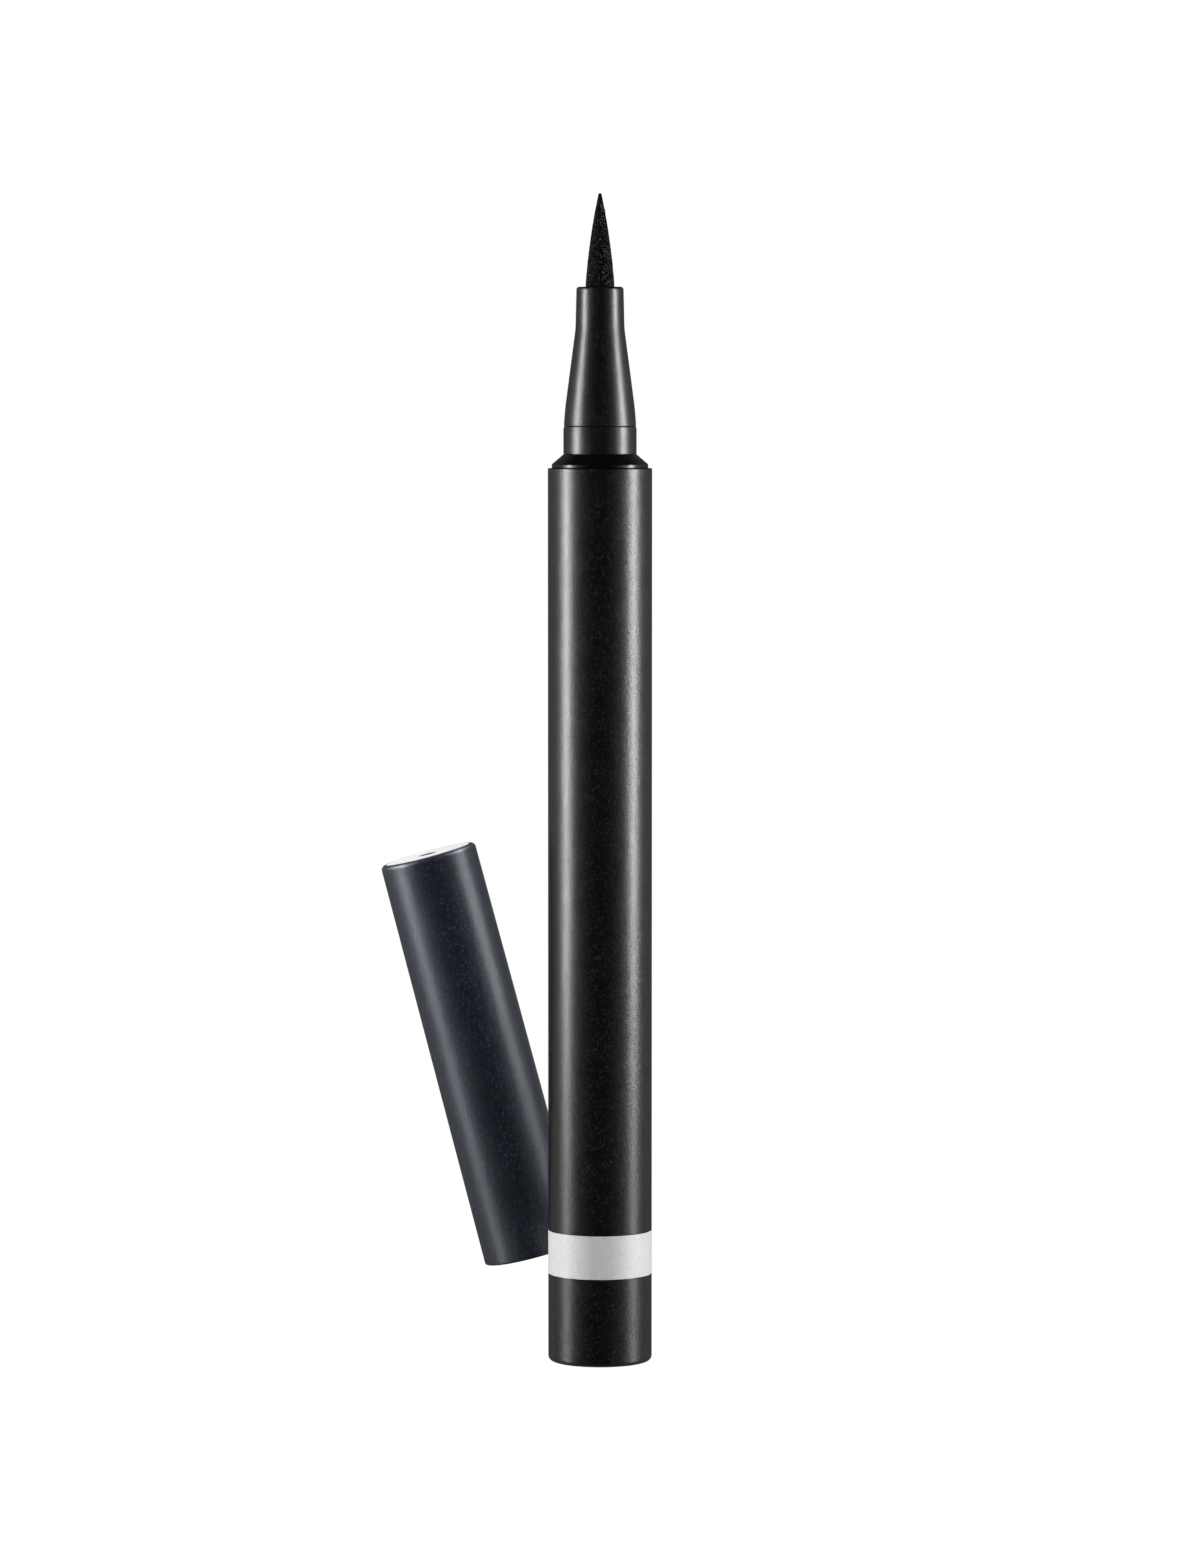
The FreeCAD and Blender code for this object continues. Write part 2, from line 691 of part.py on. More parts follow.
def place_cap(doc, d):
    """Tilt the cap's pieces and set them behind the barrel, all with one Placement."""
    reach = d.barrel_diameter.half() + d.cap_mouth_diameter.half() + d.cap_rest_gap
    depth = reach.other_leg(d.cap_rest_offset)
    for label in ("cap_shell", "cap_end_disc", "inner_cap", "inner_cap_spring"):
        piece = doc.getObjectsByLabel(label)[0]
        piece.Placement = FreeCAD.Placement(
            FreeCAD.Vector(-d.cap_rest_offset.value, depth.value, d.cap_rest_height.value),
            FreeCAD.Rotation(FreeCAD.Vector(0, -1, 0), d.cap_tilt.value))
        piece.setExpression("Placement.Base.x", f"-{d.cap_rest_offset.text}")
        piece.setExpression("Placement.Base.y", depth.text)
        piece.setExpression("Placement.Base.z", d.cap_rest_height.text)
        piece.setExpression("Placement.Rotation.Angle", d.cap_tilt.text)
    doc.recompute()


PIECES = (
    "barrel", "shade_band", "tail_plug", "reservoir_core", "reservoir_wrap", "collar", "neck_ring",
    "nozzle", "nib", "cap_shell", "cap_end_disc", "inner_cap", "inner_cap_spring",
)


def check_document(doc):
    """Raise unless every object computed and every piece is one valid solid."""
    for item in doc.Objects:
        if "Invalid" in item.State or "Error" in item.State:
            raise ValueError(f"{item.Name} failed: {item.State}")
    for label in PIECES:
        shape = doc.getObjectsByLabel(label)[0].Shape
        if shape.isNull() or not shape.isValid() or len(shape.Solids) != 1:
            raise ValueError(f"{label} is not one valid solid")


def write_pieces(doc):
    """Write each piece to a file of its own name."""
    os.makedirs(PARTS_FOLDER, exist_ok=True)
    for label in PIECES:
        doc.getObjectsByLabel(label)[0].Shape.exportStep(f"{PARTS_FOLDER}/{label}.step")


def main():
    """Build the document, check it and write its pieces."""
    doc = FreeCAD.newDocument(DOCUMENT_NAME)
    dims = Sizes(make_sheet(doc))
    build_barrel(doc, dims)
    build_shade_band(doc, dims)
    build_tail_plug(doc, dims)
    build_reservoir(doc, dims)
    build_collar(doc, dims)
    build_neck_ring(doc, dims)
    build_nozzle(doc, dims)
    build_nib(doc, dims)
    build_cap_shell(doc, dims)
    build_cap_end_disc(doc, dims)
    build_inner_cap(doc, dims)
    build_spring(doc, dims)
    place_cap(doc, dims)
    check_document(doc)
    write_pieces(doc)


main()
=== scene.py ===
"""Liquid eyeliner pen standing on its tail with the cap taken off, dressed for a studio picture.

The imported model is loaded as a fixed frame. Each visible piece is worked out again as a fine turned
surface on the same sizes, rides on its body and stands for its node. Sizes in the classes are
millimetres in the pen's frame, or in the cap's own frame where a docstring says so.
"""

import logging
import math
from dataclasses import dataclass
from enum import Enum

import bpy
import numpy as np
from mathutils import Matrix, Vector

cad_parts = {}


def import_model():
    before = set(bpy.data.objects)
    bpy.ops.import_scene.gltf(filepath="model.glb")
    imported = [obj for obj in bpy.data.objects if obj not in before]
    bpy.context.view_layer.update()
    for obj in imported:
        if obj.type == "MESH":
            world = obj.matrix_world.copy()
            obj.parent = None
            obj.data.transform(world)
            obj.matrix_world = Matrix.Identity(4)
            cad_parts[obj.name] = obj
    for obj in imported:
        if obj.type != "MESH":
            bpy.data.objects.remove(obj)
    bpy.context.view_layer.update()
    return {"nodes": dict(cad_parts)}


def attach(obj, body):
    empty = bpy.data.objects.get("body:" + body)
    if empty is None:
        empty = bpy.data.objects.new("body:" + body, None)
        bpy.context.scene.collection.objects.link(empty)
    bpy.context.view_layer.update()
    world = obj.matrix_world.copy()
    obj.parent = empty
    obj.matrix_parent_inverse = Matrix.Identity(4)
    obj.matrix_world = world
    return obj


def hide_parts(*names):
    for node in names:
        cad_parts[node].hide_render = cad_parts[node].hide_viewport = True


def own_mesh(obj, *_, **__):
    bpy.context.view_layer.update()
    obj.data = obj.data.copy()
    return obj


LOG = logging.getLogger("eyeliner_pen")
MM = 0.001
FULL_TURN = 2 * math.pi
SHARP_ANGLE = math.radians(32)
NEARLY_STRAIGHT = math.radians(84)
FACE_SHARE = "face_share"
CAP_ALONE = ("cap_tube",)

# Gaps between pieces that sit on each other or are pressed together, and the roundings of edges.
SEAT_GAP = 0.02
PRESS_GAP = 0.04
FLUSH = 0.012
KEEN = 0.03
CRISP = 0.06
SOFT = 0.1
BLUNT = 0.2

Colour = tuple[float, float, float]
Stops = list[tuple[float, Colour]]
Socket = bpy.types.NodeSocket


class Ends(Enum):
    """How the rows of a surface end."""

    LOOP = "the last row joins the first"
    POLES = "the first and the last row are single points"


class Body(Enum):
    """Bodies of the frame that pieces ride on."""

    PEN = "pen"
    CAP = "cap"
    INNER_CAP = "inner_cap"


class Slot(Enum):
    """Material slots of the record."""

    PEARL_BLACK = "pearl_black"
    PALE_BAND = "pale_band"
    BLACK_PLASTIC = "black_plastic"
    INK_FIBRE = "ink_fibre"
    CLEAR_FILM = "clear_film"
    GLOSS_BLACK = "gloss_black"
    NIB_FIBRE = "nib_fibre"
    SLATE_BLACK = "slate_black"
    WHITE_PLASTIC = "white_plastic"
    NATURAL_PLASTIC = "natural_plastic"
    SPRING_STEEL = "spring_steel"


@dataclass(frozen=True)
class Corner:
    """A point of a turned outline: radius, height and the rounding of the corner there."""

    r: float
    z: float
    rounding: float = 0.0


@dataclass(frozen=True)
class Piece:
    """A finished mesh with its finish, its body and the nodes that it stands for."""

    shape: bpy.types.Object
    slot: Slot
    body: Body
    nodes: tuple[str, ...] = ()


def unit(vector: np.ndarray) -> np.ndarray:
    """Return a vector, or each of an array of vectors, at length one."""
    return vector / np.linalg.norm(vector, axis=-1, keepdims=True)


def around(columns: int) -> np.ndarray:
    """Return evenly spaced angles round a full turn."""
    return np.linspace(0, FULL_TURN, columns, endpoint=False)


def bulge_centre(start: Corner, end: Corner, radius: float) -> np.ndarray:
    """Return the centre of an arc between two corners that bulges away from the axis.

    It is the middle of the chord moved inwards by the root of radius squared less half the chord squared.

    Args:
        start: Lower end of the arc.
        end: Upper end of the arc.
        radius: Radius of the arc.

    Returns:
        Radius and height of the centre.
    """
    low, high = np.array([start.r, start.z]), np.array([end.r, end.z])
    chord = high - low
    inward = unit(np.array([-chord[1], chord[0]]))
    return (low + high) / 2 + inward * math.sqrt(radius ** 2 - chord @ chord / 4)


def bulge(start: Corner, end: Corner, radius: float, count: int) -> list[Corner]:
    """Return points between two corners on a bulging arc: its centre plus the radius at even angles.

    Args:
        start: Lower end of the arc.
        end: Upper end of the arc.
        radius: Radius of the arc.
        count: Number of points between the two ends.

    Returns:
        The points, ends left out.
    """
    centre = bulge_centre(start, end, radius)
    first, last = (math.atan2(corner.z - centre[1], corner.r - centre[0]) for corner in (start, end))
    angles = np.linspace(first, last, count + 2)[1:-1]
    ring = centre + radius * np.stack([np.cos(angles), np.sin(angles)], axis=-1)
    return [Corner(float(r), float(z)) for r, z in ring]


def rounded_outline(corners: list[Corner], ends: Ends, steps: int = 8, guard: float = 0.06) -> np.ndarray:
    """Return an outline with its corners rounded and a guard point beside each rounding.

    A rounding touches both sides at its radius over the tangent of half the corner's angle. Its points
    are the centre plus the two radius vectors, each weighted by the sine of its share of the sweep.

    Args:
        corners: Outline with the material on its left hand.
        ends: LOOP for a closed outline, POLES for one that starts and ends on the axis.
        steps: Facets of a rounding.
        guard: Distance of the guard points, which keep the shading of long sides flat. It is at most
            a third of what the roundings leave of a side.

    Returns:
        Array of (radius, height) rows.
    """
    points = np.array([(corner.r, corner.z) for corner in corners])
    radius = np.array([corner.rounding for corner in corners])
    ahead = np.roll(points, -1, axis=0) - points
    behind = np.roll(points, 1, axis=0) - points
    cosine = np.sum(unit(ahead) * unit(behind), axis=1)
    half = np.arccos(np.clip(cosine, -1, 1)) / 2
    touch = radius / np.tan(half)
    free = np.linalg.norm(ahead, axis=1) - touch - np.roll(touch, -1)
    margin = np.minimum(guard, free / 3)
    share = np.linspace(0, 1, steps + 1)[:, None]
    rows = []
    for index, here in enumerate(points):
        on_axis = ends is Ends.POLES and index in (0, len(points) - 1)
        if on_axis or (radius[index] == 0 and half[index] > NEARLY_STRAIGHT):
            rows.append(here[None])
            continue
        a, b = unit(behind[index]), unit(ahead[index])
        first, last = here + a * touch[index], here + b * touch[index]
        arc = here[None]
        if radius[index] > 0:
            centre = here + unit(a + b) * radius[index] / math.sin(half[index])
            sweep = math.pi - 2 * half[index]
            weights = np.sin(sweep * (1 - share)), np.sin(sweep * share)
            arc = centre + (weights[0] * (first - centre) + weights[1] * (last - centre)) / math.sin(sweep)
        rows += [(first + a * margin[index - 1])[None], arc, (last + b * margin[index])[None]]
    return np.vstack(rows)


def turned(outline: np.ndarray, columns: int) -> np.ndarray:
    """Turn an outline about +Z: each (r, z) row becomes (r cos u, r sin u, z) for u round a full turn.

    Args:
        outline: Array of (radius, height) rows.
        columns: Points round the turn.

    Returns:
        Grid of shape (rows, columns, 3).
    """
    u = around(columns)
    r, z = outline[:, :1], outline[:, 1:]
    return np.stack([r * np.cos(u), r * np.sin(u), z + 0 * u], axis=-1)


def grid_object(name: str, grids: np.ndarray, ends: Ends) -> bpy.types.Object:
    """Lay equal grids of points into one mesh whose columns close round.

    A face joins a point to its neighbours in the next column and the next row. Where a row is a single
    point, the face's doubled corner is dropped, which leaves a triangle. The surface's own coordinates
    are the share of the turn and the length along the first column.

    Args:
        name: Name of the piece.
        grids: Points in millimetres, shaped (rows, columns, 3), or (grids, rows, columns, 3).
        ends: How the rows end.

    Returns:
        The object, at the origin, with its place in its mesh.
    """
    grids = grids.reshape((-1,) + grids.shape[-3:])
    count, rows, columns = grids.shape[:3]
    index = np.arange(count * rows * columns).reshape(count, rows, columns)
    run = np.concatenate([grids, grids[:, :1]], axis=1)[:, :, 0]
    length = np.cumsum(np.linalg.norm(np.diff(run, axis=1), axis=2), axis=1)
    along = np.concatenate([np.zeros((count, 1)), length], axis=1)
    if ends is Ends.POLES:
        index[:, 0], index[:, -1] = index[:, 0, :1], index[:, -1, :1]
        along = along[:, :-1]
        low, high = index[:, :-1], index[:, 1:]
    else:
        low, high = index, np.roll(index, -1, axis=1)
    faces = np.stack([low, np.roll(low, -1, axis=2), np.roll(high, -1, axis=2), high], axis=-1).reshape(-1, 4)
    share = np.arange(columns) / columns
    across = np.stack([share, share + 1 / columns, share + 1 / columns, share], axis=-1)
    lengths = np.stack([along[:, :-1], along[:, :-1], along[:, 1:], along[:, 1:]], axis=-1)
    uv = np.stack(np.broadcast_arrays(across[None, None], lengths[:, :, None]), axis=-1).reshape(-1, 4, 2)
    keep = faces != np.roll(faces, 1, axis=1)
    used, corners = np.unique(faces[keep], return_inverse=True)
    totals = keep.sum(axis=1)
    mesh = bpy.data.meshes.new(name)
    mesh.vertices.add(len(used))
    mesh.vertices.foreach_set("co", (grids.reshape(-1, 3)[used] * MM).astype(np.float32).ravel())
    mesh.loops.add(len(corners))
    mesh.loops.foreach_set("vertex_index", corners.astype(np.int32).ravel())
    mesh.polygons.add(len(totals))
    mesh.polygons.foreach_set("loop_start", (np.cumsum(totals) - totals).astype(np.int32))
    mesh.update(calc_edges=True)
    mesh.validate()
    mesh.uv_layers.new(name="Surface").data.foreach_set("uv", uv[keep].astype(np.float32).ravel())
    mesh.polygons.foreach_set("use_smooth", np.ones(len(totals), dtype=bool))
    mesh.set_sharp_from_angle(angle=SHARP_ANGLE)
    shape = bpy.data.objects.new(name, mesh)
    bpy.context.scene.collection.objects.link(shape)
    return shape


class NodeSheet:
    """A node tree with short calls to add and join its nodes."""

    def __init__(self, tree: bpy.types.NodeTree) -> None:
        """Start the sheet with the coordinates that its textures read.

        Args:
            tree: Node tree of a material or of the surroundings.
        """
        self.tree = tree
        coordinates = self.add("ShaderNodeTexCoord")
        self.place = coordinates.outputs["Object"]
        self.surface = coordinates.outputs["UV"]
        self.direction = coordinates.outputs["Generated"]

    def add(self, kind: str, **settings: object) -> bpy.types.Node:
        """Add a node and set its properties.

        Args:
            kind: Type of the node.
            settings: Properties and their values.

        Returns:
            The node.
        """
        node = self.tree.nodes.new(kind)
        for name, value in settings.items():
            setattr(node, name, value)
        return node

    def join(self, source: Socket, target: Socket) -> None:
        """Link an output to an input."""
        self.tree.links.new(source, target)

    def stretched(self, source: Socket, scale: Colour) -> Socket:
        """Return coordinates with each axis multiplied by its own scale.

        Args:
            source: Coordinates.
            scale: Factor of each axis.

        Returns:
            The stretched coordinates.
        """
        mapping = self.add("ShaderNodeMapping")
        mapping.inputs["Scale"].default_value = scale
        self.join(source, mapping.inputs["Vector"])
        return mapping.outputs["Vector"]

    def noise(self, source: Socket, size: float, detail: float = 2.0) -> Socket:
        """Return soft noise between 0 and 1.

        Args:
            source: Coordinates.
            size: Length of a wave, in the coordinates' own unit.
            detail: Number of finer layers.

        Returns:
            The noise.
        """
        noise = self.add("ShaderNodeTexNoise")
        noise.inputs["Scale"].default_value = 1 / size
        noise.inputs["Detail"].default_value = detail
        self.join(source, noise.inputs["Vector"])
        return noise.outputs["Fac"]

    def flakes(self, source: Socket, size: float) -> Socket:
        """Return a random colour for each of many small cells.

        Args:
            source: Coordinates.
            size: Width of a cell, in the coordinates' own unit.

        Returns:
            The colour.
        """
        cells = self.add("ShaderNodeTexVoronoi")
        cells.inputs["Scale"].default_value = 1 / size
        self.join(source, cells.inputs["Vector"])
        return cells.outputs["Color"]

    def red(self, colour: Socket) -> Socket:
        """Return a colour's first channel.

        Args:
            colour: The colour.

        Returns:
            Its red share.
        """
        split = self.add("ShaderNodeSeparateColor")
        self.join(colour, split.inputs["Color"])
        return split.outputs["Red"]

    def ramp(self, source: Socket, stops: Stops) -> Socket:
        """Return a colour that runs through stops as the source goes from 0 to 1.

        Args:
            source: Number between 0 and 1.
            stops: Places and colours, in order.

        Returns:
            The colour.
        """
        node = self.add("ShaderNodeValToRGB")
        elements = node.color_ramp.elements
        for element, (position, colour) in zip(elements, (stops[0], stops[-1])):
            element.position, element.color = position, (*colour, 1)
        for position, colour in stops[1:-1]:
            elements.new(position).color = (*colour, 1)
        self.join(source, node.inputs["Fac"])
        return node.outputs["Color"]

    def carried(self, source: Socket, start: float, end: float, low: float, high: float) -> Socket:
        """Return the source with one range carried to another.

        Args:
            source: Number.
            start: Value that becomes low.
            end: Value that becomes high.
            low: Lower end of the result.
            high: Upper end of the result.

        Returns:
            The number, held inside its new range.
        """
        node = self.add("ShaderNodeMapRange")
        for name, value in (("From Min", start), ("From Max", end), ("To Min", low), ("To Max", high)):
            node.inputs[name].default_value = value
        self.join(source, node.inputs["Value"])
        return node.outputs["Result"]


class FinishSheet(NodeSheet):
    """The nodes of a new material with one surface shader."""

    NOISE_LOW = 0.3
    NOISE_HIGH = 0.7

    def __init__(self, name: str) -> None:
        """Start the material with its shader and its output.

        Args:
            name: Name of the material.
        """
        self.material = bpy.data.materials.new(name)
        self.material.use_nodes = True
        self.material.node_tree.nodes.clear()
        super().__init__(self.material.node_tree)
        self.shader = self.add("ShaderNodeBsdfPrincipled")
        output = self.add("ShaderNodeOutputMaterial")
        self.join(self.shader.outputs["BSDF"], output.inputs["Surface"])

    def set(self, **values: object) -> None:
        """Set the shader's own sockets; an underscore in a name stands for a space."""
        for name, value in values.items():
            self.shader.inputs[name.replace("_", " ")].default_value = value

    def feed(self, **sources: Socket) -> None:
        """Link outputs to the shader's sockets; an underscore in a name stands for a space."""
        for name, source in sources.items():
            self.join(source, self.shader.inputs[name.replace("_", " ")])

    def tones(self, noise: Socket, dark: Colour, light: Colour) -> Socket:
        """Return a colour that a noise's middle range carries from dark to light."""
        return self.ramp(noise, [(self.NOISE_LOW, dark), (self.NOISE_HIGH, light)])

    def about(self, noise: Socket, value: float, change: float) -> Socket:
        """Return a value that a noise moves up and down by a change."""
        return self.carried(noise, self.NOISE_LOW, self.NOISE_HIGH, value - change, value + change)

    def tilt(self, colour: Socket, amount: float) -> Socket:
        """Return the surface's normal tipped a little by a random colour.

        The colour less a half, scaled, is added to the normal, and the sum is brought to length one.

        Args:
            colour: Random colour of a cell.
            amount: Largest part that is added along each axis.

        Returns:
            The normal.
        """
        centred = self.add("ShaderNodeVectorMath", operation="SUBTRACT")
        centred.inputs[1].default_value = (0.5, 0.5, 0.5)
        scaled = self.add("ShaderNodeVectorMath", operation="SCALE")
        scaled.inputs["Scale"].default_value = amount * 2
        total = self.add("ShaderNodeVectorMath", operation="ADD")
        normal = self.add("ShaderNodeVectorMath", operation="NORMALIZE")
        self.join(colour, centred.inputs[0])
        self.join(centred.outputs["Vector"], scaled.inputs[0])
        self.join(scaled.outputs["Vector"], total.inputs[0])
        self.join(self.add("ShaderNodeNewGeometry").outputs["Normal"], total.inputs[1])
        self.join(total.outputs["Vector"], normal.inputs[0])
        return normal.outputs["Vector"]

    def bump(self, height: Socket, depth: float, normal: Socket | None = None) -> Socket:
        """Return the normal of a relief.

        Args:
            height: Height between 0 and 1.
            depth: Millimetres between a height of 0 and of 1.
            normal: Normal that the relief stands on, where it isn't the surface's own.

        Returns:
            The normal.
        """
        node = self.add("ShaderNodeBump")
        node.inputs["Distance"].default_value = depth * MM
        self.join(height, node.inputs["Height"])
        if normal is not None:
            self.join(normal, node.inputs["Normal"])
        return node.outputs["Normal"]


@dataclass(frozen=True)
class PearlLacquer:
    """Black satin lacquer with fine pearl flakes that vary its colour and its gloss."""

    name: str
    base: Colour
    flake: Colour
    roughness: float
    sheen_tint: Colour = (1.0, 1.0, 1.0)
    flake_size: float = 0.12
    flake_bare: float = 0.8
    facet_size: float = 0.045
    facet_tilt: float = 0.07
    cloud_size: float = 2.2
    cloud_detail: float = 3.0
    gloss_change: float = 0.02
    peel_size: float = 2.5
    peel_detail: float = 1.0
    peel_depth: float = 0.001

    def make(self) -> bpy.types.Material:
        """Return the lacquer: flakes of their own colour, fine tilted facets and a faint orange peel.

        Returns:
            The material.
        """
        sheet = FinishSheet(self.name)
        flakes = sheet.flakes(sheet.place, self.flake_size * MM)
        facets = sheet.flakes(sheet.place, self.facet_size * MM)
        cloud = sheet.noise(sheet.place, self.cloud_size * MM, self.cloud_detail)
        peel = sheet.noise(sheet.place, self.peel_size * MM, self.peel_detail)
        stops = [(0.0, self.base), (self.flake_bare, self.base), (1.0, self.flake)]
        sheet.feed(
            Base_Color=sheet.ramp(sheet.red(flakes), stops),
            Roughness=sheet.about(cloud, self.roughness, self.gloss_change),
            Normal=sheet.bump(peel, self.peel_depth, sheet.tilt(facets, self.facet_tilt)),
        )
        sheet.set(Specular_Tint=(*self.sheen_tint, 1))
        return sheet.material


@dataclass(frozen=True)
class MouldedPlastic:
    """Moulded plastic with a faint cloudy colour and a fine spark-eroded grain."""

    name: str
    dark: Colour
    light: Colour
    roughness: float
    level: float = 0.5
    cloud_size: float = 1.6
    cloud_detail: float = 4.0
    gloss_change: float = 0.03
    grain_size: float = 0.16
    grain_depth: float = 0.004
    glow: float = 0.0
    glow_depth: float = 0.6
    glow_spread: Colour = (0.9, 0.85, 0.8)

    def make(self) -> bpy.types.Material:
        """Return the plastic: clouds vary its colour and roughness, the grain its normal.

        Returns:
            The material.
        """
        sheet = FinishSheet(self.name)
        cloud = sheet.noise(sheet.place, self.cloud_size * MM, self.cloud_detail)
        grain = sheet.noise(sheet.place, self.grain_size * MM)
        sheet.feed(
            Base_Color=sheet.tones(cloud, self.dark, self.light),
            Roughness=sheet.about(cloud, self.roughness, self.gloss_change),
            Normal=sheet.bump(grain, self.grain_depth),
        )
        sheet.set(Specular_IOR_Level=self.level)
        if self.glow > 0:
            sheet.set(Subsurface_Weight=self.glow, Subsurface_Radius=self.glow_spread)
            sheet.set(Subsurface_Scale=self.glow_depth * MM)
        return sheet.material


@dataclass(frozen=True)
class BondedFibre:
    """Fibres that run along +Z, with a share of small stretched cells paler than the rest."""

    name: str
    dark: Colour
    light: Colour
    strand: float
    length: float
    roughness: float
    depth: float
    bare: float
    tilt: float
    level: float
    relief_detail: float = 3.0
    gloss_change: float = 0.1

    def make(self) -> bpy.types.Material:
        """Return the fibre: stretched cells are tipped grains, of which a share is pale, on a fine relief.

        Returns:
            The material.
        """
        sheet = FinishSheet(self.name)
        along = sheet.stretched(sheet.place, (1.0, 1.0, self.strand / self.length))
        grains = sheet.flakes(along, self.strand * MM)
        relief = sheet.noise(along, self.strand * MM, self.relief_detail)
        stops = [(0.0, self.dark), (self.bare, self.dark), (1.0, self.light)]
        sheet.feed(
            Base_Color=sheet.ramp(sheet.red(grains), stops),
            Roughness=sheet.about(relief, self.roughness, self.gloss_change),
            Normal=sheet.bump(relief, self.depth, sheet.tilt(grains, self.tilt)),
        )
        sheet.set(Specular_IOR_Level=self.level)
        return sheet.material


@dataclass(frozen=True)
class VentShadedPlastic:
    """Plastic that is pale on the face the stored share marks, with painted shade in its core colour
    elsewhere, as on the vent's wall.
    """

    name: str
    core: Colour
    face: Colour
    roughness: float
    cloud_size: float = 0.7
    cloud_detail: float = 3.0
    cloud_depth: float = 0.004
    gloss_change: float = 0.04

    def make(self) -> bpy.types.Material:
        """Return the plastic: the stored share picks the pale face or the core's painted shade, clouds vary
        the gloss.

        Returns:
            The material.
        """
        sheet = FinishSheet(self.name)
        share = sheet.add("ShaderNodeAttribute", attribute_name=FACE_SHARE).outputs["Fac"]
        cloud = sheet.noise(sheet.place, self.cloud_size * MM, self.cloud_detail)
        sheet.feed(
            Base_Color=sheet.tones(share, self.core, self.face),
            Roughness=sheet.about(cloud, self.roughness, self.gloss_change),
            Normal=sheet.bump(cloud, self.cloud_depth),
        )
        return sheet.material


@dataclass(frozen=True)
class ClearFilm:
    """Thin clear film with a faint wrinkle."""

    name: str
    dark: Colour
    light: Colour
    roughness: float
    wrinkle_size: float = 1.5
    wrinkle_detail: float = 3.0
    wrinkle_depth: float = 0.02
    gloss_change: float = 0.04
    clearness: float = 0.8
    bending: float = 1.5

    def make(self) -> bpy.types.Material:
        """Return the film: clear, with tint, roughness and relief from a slow noise.

        Returns:
            The material.
        """
        sheet = FinishSheet(self.name)
        wrinkle = sheet.noise(sheet.place, self.wrinkle_size * MM, self.wrinkle_detail)
        sheet.feed(
            Base_Color=sheet.tones(wrinkle, self.dark, self.light),
            Roughness=sheet.about(wrinkle, self.roughness, self.gloss_change),
            Normal=sheet.bump(wrinkle, self.wrinkle_depth),
        )
        sheet.set(Transmission_Weight=self.clearness, IOR=self.bending)
        return sheet.material


@dataclass(frozen=True)
class DrawnSteel:
    """Bright drawn wire with fine lines along its length."""

    name: str
    dark: Colour
    light: Colour
    roughness: float
    lines_round: float = 26.0
    line_length: float = 3.0
    line_detail: float = 3.0
    line_depth: float = 0.003
    gloss_change: float = 0.06

    def make(self) -> bpy.types.Material:
        """Return the steel: lines on the wire's own surface vary its colour, roughness and relief.

        Returns:
            The material.
        """
        sheet = FinishSheet(self.name)
        along = sheet.stretched(sheet.surface, (self.lines_round, 1 / self.line_length, 1.0))
        lines = sheet.noise(along, 1.0, self.line_detail)
        sheet.feed(
            Base_Color=sheet.tones(lines, self.dark, self.light),
            Roughness=sheet.about(lines, self.roughness, self.gloss_change),
            Normal=sheet.bump(lines, self.line_depth),
        )
        sheet.set(Metallic=1.0)
        return sheet.material


Finish = PearlLacquer | MouldedPlastic | BondedFibre | VentShadedPlastic | ClearFilm | DrawnSteel


